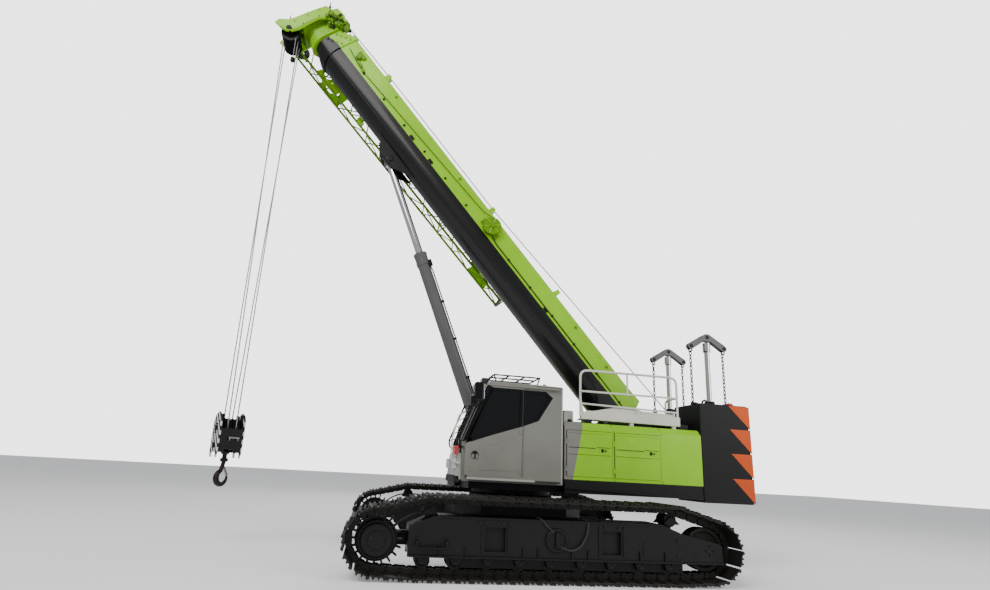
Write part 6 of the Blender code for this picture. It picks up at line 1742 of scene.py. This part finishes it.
        # the head fittings take the darkened lime as painted shade
        joined("head_fittings", lumps, "lime_painted_shade", 35, TIP)
        dark = [block((10.55, y + 0.01, 0.44), (10.62, y + 0.09, 0.50), 0.012, BOOM),
                block((10.42, y + 0.0, 0.16), (10.50, y + 0.05, 0.22), 0.01, BOOM),
                rod((10.36, 0.18, 0.44), (10.30, 0.18, 0.54), 0.04, 0.01, BOOM),
                tube([(10.72, y + 0.08, 0.24), (10.60, y + 0.13, 0.27), (10.48, y + 0.13, 0.33),
                      (10.38, y + 0.07, 0.46)], 0.010, BOOM, 8, 0.04)]
        for s, n, length in ((10.93, 0.42, 0.15), (11.02, -0.52, 0.17)):
            dark.append(rod((s, y - 0.04, n), (s + length * 0.75, y - 0.04, n + length * 0.62), 0.030,
                            0.002, BOOM, 12, 0.004))
            for lean in (-0.10, 0.06):
                dark.append(tube([(s + 0.03, y - 0.04, n + 0.03),
                                  (s + length * 0.6, y - 0.04 + lean, n + length * 0.8 - lean * 0.3)],
                                 0.006, BOOM, 8))
        joined("head_instruments", dark, "dark_paint", 35, TIP)


def holed_plate(corners, centre, radii, low, high, space):
    """A four-cornered plate with an oval hole, made of its two halves."""
    halves = []
    (s0, n0), (s1, n1), (s2, n2), (s3, n3) = corners
    s, n = centre
    above = [(s + radii[0] * math.cos(math.pi * i / 14), n + radii[1] * math.sin(math.pi * i / 14))
             for i in range(15)]
    below = [(s + radii[0] * math.cos(math.pi * i / 14), n - radii[1] * math.sin(math.pi * i / 14))
             for i in range(15)]
    right, left = ((s1 + s2) / 2, (n1 + n2) / 2), ((s0 + s3) / 2, (n0 + n3) / 2)
    halves.append(plate([right] + above + [left, (s3, n3), (s2, n2)], low, high, 0.002, space))
    halves.append(plate([right] + below + [left, (s0, n0), (s1, n1)], low, high, 0.002, space))
    return halves


class RigJib(bpy.types.Operator):
    """Builds the folded lattice jib along the boom"""

    bl_idname = "crane.rig_jib"
    bl_label = "Rig the folded jib"

    def execute(self, context):
        ys, ns = (-0.86, -0.46), (-0.30, 0.22)
        start, end, bays = 3.62, 11.14, 14
        lean = BOOM @ Matrix.Translation((4, 0, 0)) @ Matrix.Rotation(math.radians(1.3), 4,
                                                                      "Y") @ Matrix.Translation((-4, 0, 0))
        chords = [(ys[0], ns[0]), (ys[1], ns[0]), (ys[1], ns[1]), (ys[0], ns[1])]
        bars = [rod((start, y, n), (end, y, n), 0.026, 0, lean, 14) for y, n in chords]
        step = (end - start) / bays
        for bay in range(bays):
            s = start + bay * step
            for (y1, n1), (y2, n2) in zip(chords, chords[1:] + chords[:1]):
                flip = bay % 2
                bars.append(rod((s + step * flip, y1, n1), (s + step * (1 - flip), y2, n2), 0.013, 0, lean,
                                8))
                if bay % 4 == 0:
                    bars.append(rod((s, y1, n1), (s, y2, n2), 0.016, 0, lean, 8))
        # the lattice takes the darkened lime as painted shade
        made = joined("jib_lattice", bars, "lime_painted_shade", 50, "boom")
        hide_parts("stowed_jib")
        gussets = [holed_plate([(9.55, ns[0] - 0.03), (10.30, ns[0] - 0.03), (10.20, ns[1] - 0.12),
                                (9.60, ns[1] - 0.02)],
                               (9.98, -0.10), (0.20, 0.12), y - 0.006, y + 0.006, lean) for y in ys]
        gussets += [plate([(4.1, ns[0] - 0.02), (4.7, ns[0] - 0.02), (4.6, ns[1]), (4.2, ns[1])], y - 0.006,
                          y + 0.006, 0.002, lean)
                    for y in ys]
        gussets += [block((s - 0.07, ys[1] - 0.03, ns[0]), (s + 0.07, ys[1] + 0.115, ns[0] + 0.10), 0.01,
                          lean) for s in (4.3, 8.7)]
        gussets += [block((s - 0.05, ys[1] - 0.03, ns[1] - 0.10), (s + 0.05, ys[1] + 0.115, ns[1]), 0.01,
                          lean) for s in (4.3, 8.7)]
        joined("jib_gussets", gussets, "lime_paint", 30, "boom")
        wheel = [turned(sheave_profile(0.15, 0.12, 0.022), (10.96, -0.66, -0.20), (0, 1, 0), lean, 32),
                 rod((10.86, -0.80, -0.20), (10.86, -0.50, -0.20), 0.03, 0, lean)]
        wheel += [rod((s, ys[0] - 0.02, n), (s, ys[1] + 0.02, n), 0.03, 0.004, lean, 16)
                  for s in (start + 0.03,) for n in ns]
        joined("jib_sheave", wheel, "dark_paint", 40, "boom")
        return {"FINISHED"}


# ---------------------------------------------------------------- luffing cylinder
class BuildLuffingCylinder(bpy.types.Operator):
    """Builds the luffing cylinder's barrel, gland, pipes and chromed rod"""

    bl_idname = "crane.build_luffing_cylinder"
    bl_label = "Build the luffing cylinder"

    def execute(self, context):
        length = (BOOM @ Vector((7.33, 0, -0.56)) - LUFF @ Vector((0, 0, 0))).length
        barrel = turned([(0.06, 0.0), (0.06, 0.085), (0.22, 0.09), (0.26, 0.122), (0.34, 0.122),
                         (0.35, 0.131), (0.43, 0.131), (0.44, 0.124), (4.16, 0.124), (4.17, 0.138),
                         (4.24, 0.140), (4.25, 0.133), (4.36, 0.133), (4.37, 0.139), (4.43, 0.139),
                         (4.44, 0.125), (4.445, 0.090), (4.40, 0.086), (3.9, 0.086)],
                        (0, 0, 0), (1, 0, 0), LUFF, 44)
        eye = turned([(-0.09, 0.062), (-0.09, 0.105), (-0.08, 0.115), (0.08, 0.115), (0.09, 0.105),
                      (0.09, 0.062)],
                     (0, 0, 0), (0, 1, 0), LUFF, 36)
        made = joined("luffing_barrel", [barrel, eye], "barrel_grey", 40, "luffing_cylinder")
        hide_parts("luffing_cylinder")
        pipes = [tube([(0.40, 0.09, 0.10), (0.46, 0.105, 0.125), (4.02, 0.105, 0.125), (4.14, 0.085, 0.10)],
                      0.014, LUFF, 10, 0.05),
                 tube([(0.34, -0.06, 0.12), (0.42, -0.07, 0.155), (1.70, -0.07, 0.155),
                       (1.78, -0.06, 0.12)], 0.014, LUFF, 10, 0.05)]
        pipes += [block((s, 0.06, 0.09), (s + 0.04, 0.13, 0.148), 0.006, LUFF)
                  for s in (0.9, 1.7, 2.5, 3.3)]
        pipes += [block((0.30, -0.11, 0.10), (0.48, 0.11, 0.19), 0.015, LUFF),
                  block((4.10, 0.04, 0.10), (4.24, 0.13, 0.165), 0.012, LUFF)]
        joined("luffing_pipes", pipes, "dark_paint", 40, "luffing_cylinder")
        shaft = turned([(2.36, 0.0), (2.36, 0.078), (length - 0.10, 0.078), (length - 0.085, 0.095),
                        (length - 0.05, 0.10), (length - 0.04, 0.0)], (0, 0, 0), (1, 0, 0), LUFF, 40)
        made = joined("luffing_shaft", [shaft], "chrome", 40, "luffing_rod")
        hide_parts("luffing_rod")
        head = turned([(-0.085, 0.060), (-0.085, 0.10), (-0.075, 0.112), (0.075, 0.112), (0.085, 0.10),
                       (0.085, 0.060)],
                      (length, 0, 0), (0, 1, 0), LUFF, 36)
        joined("luffing_rod_eye", [head], "barrel_grey", 40, "luffing_rod")
        ring = turned([(2.44, 0.080), (2.44, 0.100), (2.54, 0.100), (2.54, 0.080)], (0, 0, 0), (1, 0, 0),
                      LUFF, 32)
        made = joined("luffing_piston_ring", [ring], "bare_steel", 40, "luffing_piston")
        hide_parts("luffing_piston")
        return {"FINISHED"}


# ---------------------------------------------------------------- ropes, hook block and winches
HEAD_XZ = BOOM @ Vector((HEAD_SHEAVE[0], 0, HEAD_SHEAVE[1]))
BLOCK_Z = 1.97
BLOCK_TURN = math.radians(30)
BLOCK_HALF = 0.185
HOOK_TURN = math.radians(58)
BLOCK = Matrix.Translation((HEAD_XZ.x, 0, BLOCK_Z)) @ Matrix.Rotation(BLOCK_TURN, 4, "Z")
WINCHES = {"winch_drum_rear": (-3.56, 2.30), "winch_drum_front": (-2.95, 2.02)}
ROPE_STEPS = 40


def rope(name, start, end, radius, space=HERE, sides=8):
    """A taut rope between two points, with many points along it."""
    a, b = Vector(start), Vector(end)
    line = tube([a.lerp(b, i / ROPE_STEPS) for i in range(ROPE_STEPS + 1)], radius, space, sides)
    return joined(name, line, "wire_rope", 60)


class ReeveRopes(bpy.types.Operator):
    """Reeves the four hoist falls and the rope from the winch over the boom to its head"""

    bl_idname = "crane.reeve_ropes"
    bl_label = "Reeve the ropes"

    def execute(self, context):
        radius = context.scene.crane_sizes.rope / 2
        pitch, spread = 0.15, 0.07
        falls = [((-pitch, 0.10), (-spread, pitch)), ((pitch, 0.10), (spread, pitch)),
                 ((pitch, -0.10), (spread, -pitch)), ((-pitch, -0.10), (-spread, -pitch))]
        for number, ((dx, dy), (along, across)) in enumerate(falls, 1):
            top = Vector((HEAD_XZ.x + dx, dy, HEAD_XZ.z))
            low = BLOCK @ Vector((along, across, 0))
            made = rope(f"hoist_fall_{number}", top, low, radius)
            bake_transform(made)
            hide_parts(f"hoist_rope_{number}")
        y = 0.15
        guide_n = BOOM_TOP_N + 0.155
        run = [BOOM @ Vector((GUIDES[1], y, guide_n)), BOOM @ Vector((GUIDES[2], y, guide_n))]
        made = rope("boom_rope", run[0], run[1], radius)
        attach(made, "boom")
        last = BOOM @ Vector((TOP_SHEAVE[0], 0.06, TOP_SHEAVE[1] + 0.155))
        bodies = ["boom", "boom_section_2", "boom_section_3", "boom_section_4", "boom_section_5"]
        for i, (first, second) in enumerate(zip(bodies, bodies[1:])):
            a, b = run[1].lerp(last, i / 4), run[1].lerp(last, (i + 1) / 4)
            made = rope(f"telescope_rope_{i + 1}", a, b, radius)
            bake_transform(made)
        x, z = WINCHES["winch_drum_rear"]
        drum_top = MACHINE @ Vector((x - 0.02, 0.10, z + 0.195))
        middle = drum_top.lerp(run[0], 0.55)
        lower = rope("winch_rope_lower", drum_top, middle, radius)
        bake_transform(lower)
        upper = rope("winch_rope_upper", middle, run[0], radius)
        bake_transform(upper)
        wire = [tube([(HEAD_XZ.x - 0.13, 0.24, HEAD_XZ.z - 0.12),
                      (HEAD_XZ.x - 0.13, 0.24, HEAD_XZ.z - 0.62)], 0.006, HERE, 8)]
        joined("limit_switch_wire", wire, "wire_rope", 50, "hoist_ropes")
        weight = turned([(0, 0), (0.0, 0.035), (0.01, 0.045), (0.085, 0.045), (0.095, 0.035), (0.11, 0.012),
                         (0.11, 0)],
                        (HEAD_XZ.x - 0.13, 0.24, HEAD_XZ.z - 0.72), (0, 0, 1), HERE, 28)
        joined("limit_switch_weight", [weight], "dark_paint", 40, "hoist_ropes")
        return {"FINISHED"}


class BuildHookBlock(bpy.types.Operator):
    """Builds the striped hook block, its sheaves and the forged hook"""

    bl_idname = "crane.build_hook_block"
    bl_label = "Build the hook block"

    def execute(self, context):
        deep, wide = 0.225, BLOCK_HALF
        cheek = [(-deep, -0.06), (-deep + 0.02, 0.16), (-deep + 0.08, 0.24), (0.0, 0.30),
                 (deep - 0.08, 0.24), (deep - 0.02, 0.16), (deep, -0.06), (deep - 0.02, -0.42),
                 (deep - 0.05, -0.50), (0.13, -0.50), (0.13, -0.41), (-0.13, -0.41), (-0.13, -0.50),
                 (-deep + 0.05, -0.50), (-deep + 0.02, -0.42)]
        cheeks = [plate(cheek, x, x + 0.026, 0.006, BLOCK, "X") for x in (-wide - 0.026, wide)]
        made = joined("block_cheeks", cheeks, "warning_stripes", 30, "hook_block")
        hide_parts("hook_block")
        front = [(-wide - 0.002, 0.0), (wide + 0.002, 0.0), (wide + 0.002, -0.41), (wide - 0.10, -0.41),
                 (wide - 0.10, -0.36), (0.10 - wide, -0.36), (0.10 - wide, -0.41), (-wide - 0.002, -0.41)]
        body = [plate(front, y, y + 0.03, 0.008, BLOCK) for y in (deep - 0.035, 0.005 - deep)]
        body += [block((-wide, -0.16, -0.36), (wide, 0.16, -0.16), 0.02, BLOCK),
                 turned([(0, 0), (0, 0.06), (0.03, 0.075), (0.05, 0.075), (0.06, 0.05), (0.12, 0.0)],
                        (0, 0, -0.44), (0, 0, 1), BLOCK, 28)]
        body += [rod((-wide - 0.05, 0, 0), (wide + 0.05, 0, 0), 0.052, 0.006, BLOCK, 28),
                 rod((-wide - 0.045, 0, -0.30), (wide + 0.045, 0, -0.30), 0.055, 0.006, BLOCK, 28)]
        body += [rod((x, y, 0.17), (x, y, 0.25), 0.024, 0.004, BLOCK, 14)
                 for x in (-wide + 0.03, wide - 0.03) for y in (-0.12, 0.12)]
        joined("block_body", body, "dark_paint", 35, "hook_block")
        outer = wide + 0.026
        heads = bolt_circle((outer, 0, 0), 0.085, 6, "X", 0.024, 0.012, BLOCK) + bolt_circle((-outer, 0, 0),
                                                                                             0.085, 6, "X",
                                                                                             0.024, -0.012,
                                                                                             BLOCK)
        heads += bolts([(outer, 0.16, -0.38), (outer, -0.16, -0.38), (outer, 0.15, 0.12),
                        (outer, -0.15, 0.12)],
                       (1, 0, 0), 0.026, 0.012, BLOCK)
        joined("block_bolts", heads, "dark_paint", 30, "hook_block")
        grips = []
        for side in BOTH:
            y, out = side * (deep - 0.01), side * (deep + 0.04)
            grips += [tube([(x, y, -0.15), (x, out, -0.16), (x, out, -0.20), (x, y, -0.21)], 0.010, BLOCK,
                           8, 0.015) for x in (-0.10, 0.04)]
            grips.append(tube([(-0.12, out, -0.155), (0.06, out, -0.155)], 0.014, BLOCK, 10))
        joined("block_grips", grips, "bare_steel", 40, "hook_block")
        wheels = [turned(sheave_profile(0.185, 0.15, 0.026), (x, 0, 0), (1, 0, 0), BLOCK, 44)
                  for x in (-0.14, -0.07, 0.0, 0.07, 0.14)]
        joined("block_sheaves", wheels, "dark_paint", 40, "hook_block")
        self.hook()
        return {"FINISHED"}

    def hook(self):
        x, low_z = 0.0, 0.97
        shank = Matrix.Translation((HEAD_XZ.x, 0, 0)) @ Matrix.Rotation(HOOK_TURN, 4, "Z")
        thick, bowl = 0.050, 0.115
        middle = low_z + thick + bowl
        line = [(x, 0, 1.57), (x, 0, 1.46), (x, 0, 1.40), (x + 0.012, 0, 1.345)]
        line += [(x + bowl * math.cos(t), 0, middle + bowl * math.sin(t)) for t in
                 [math.radians(70 - 14 * i) for i in range(20)]]
        widths = [0.040, 0.040, 0.036, 0.036]
        widths += [0.036 + 0.014 * math.sin(math.pi * min(1, i / 13)) - 0.020 * max(0, (i - 13) / 6)
                   for i in range(20)]
        curve = bpy.data.curves.new("hook", "CURVE")
        curve.dimensions = "3D"
        curve.bevel_depth = 1.0
        curve.bevel_resolution = 5
        curve.use_fill_caps = True
        spline = curve.splines.new("POLY")
        spline.points.add(len(line) - 1)
        for knot, place, width in zip(spline.points, line, widths):
            knot.co = (*place, 1)
            knot.radius = width
        obj = bpy.data.objects.new("hook", curve)
        bpy.context.scene.collection.objects.link(obj)
        only(obj)
        bpy.ops.object.convert(target="MESH")
        forging = bpy.context.active_object
        forging.matrix_world = shank
        bpy.ops.object.transform_apply()
        shapes = [forging, turned([(0, 0), (0, 0.062), (0.02, 0.066), (0.05, 0.066), (0.06, 0.058),
                                   (0.06, 0)], (x, 0, 1.405), (0, 0, 1), shank, 24)]
        made = joined("forged_hook", shapes, "hook_steel", 60, "hook")
        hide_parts("hook")
        tip = (x + bowl * math.cos(math.radians(-196)), 0, middle + bowl * math.sin(math.radians(-196)))
        latch = [plate([(tip[0] - 0.012, tip[2] + 0.02), (tip[0] + 0.012, tip[2] - 0.005),
                        (x + 0.020, 1.345), (x - 0.004, 1.355)],
                       -0.018, 0.018, 0.004, shank)]
        joined("hook_latch", latch, "bare_steel", 35, "hook")


class WindWinches(bpy.types.Operator):
    """Winds the rope on the two winch drums between their flanges"""

    bl_idname = "crane.wind_winches"
    bl_label = "Wind the winches"

    def execute(self, context):
        pitch = 0.026
        for name, (x, z) in WINCHES.items():
            half = 0.30
            flanges = [turned([(y, 0.05), (y, 0.24), (y + 0.006, 0.245), (y + 0.024, 0.245),
                               (y + 0.03, 0.24), (y + 0.03, 0.05)],
                              (x, 0, z), (0, 1, 0), MACHINE, 44) for y in (-half - 0.03, half)]
            flanges += [rod((x, -0.43, z), (x, 0.43, z), 0.05, 0.004, MACHINE, 24)]
            flanges += bolt_circle((x, half + 0.03, z), 0.12, 10, "Y", 0.026,
                                   0.012) + bolt_circle((x, -half - 0.03, z), 0.12, 10, "Y", 0.026, -0.012)
            made = joined(name + "_flanges", flanges, "dark_paint", 40, name)
            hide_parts(name)
            profile = [(-half, 0.10)]
            for i in range(int(2 * half / pitch)):
                start = -half + i * pitch
                profile += [(start + pitch * share, 0.172 + 0.012 * math.sin(math.pi * share))
                            for share in (0.08, 0.5, 0.92)]
            profile.append((half, 0.10))
            wound = turned(profile, (x, 0, z), (0, 1, 0), MACHINE, 40)
            joined(name + "_rope", [wound], "wire_rope", 60, name)
        return {"FINISHED"}


PIECES = (FinishFrame, LayTracks, MakeTrackWheels, DressTrackFrames, DressCab, FurnishCab, DressHood,
          BuildHandrail,
          DressCounterweight, HangLiftChains, DressBoom, DressHead, RigJib, BuildLuffingCylinder,
          ReeveRopes,
          BuildHookBlock, WindWinches, SetStage)


class CranePanel(bpy.types.Panel):
    """Lists the crane's pieces in the sidebar"""

    bl_idname = "VIEW3D_PT_crane"
    bl_label = "Crane"
    bl_space_type = "VIEW_3D"
    bl_region_type = "UI"
    bl_category = "Crane"

    def draw(self, context):
        for settings in (context.scene.crane_paint, context.scene.crane_sizes):
            for name in settings.bl_rna.properties.keys():
                if name not in ("rna_type", "name"):
                    self.layout.prop(settings, name)
        for piece in PIECES:
            self.layout.operator(piece.bl_idname)


CLASSES = (CranePaint, CraneSizes, *PIECES, CranePanel)


def register():
    for item in CLASSES:
        bpy.utils.register_class(item)
    bpy.types.Scene.crane_paint = bpy.props.PointerProperty(type=CranePaint)
    bpy.types.Scene.crane_sizes = bpy.props.PointerProperty(type=CraneSizes)


def unregister():
    del bpy.types.Scene.crane_sizes
    del bpy.types.Scene.crane_paint
    for item in reversed(CLASSES):
        bpy.utils.unregister_class(item)


def main():
    register()
    for piece in PIECES:
        getattr(bpy.ops.crane, piece.bl_idname.split(".")[1])()
    clear_selection()


if __name__ == "__main__":
    main()
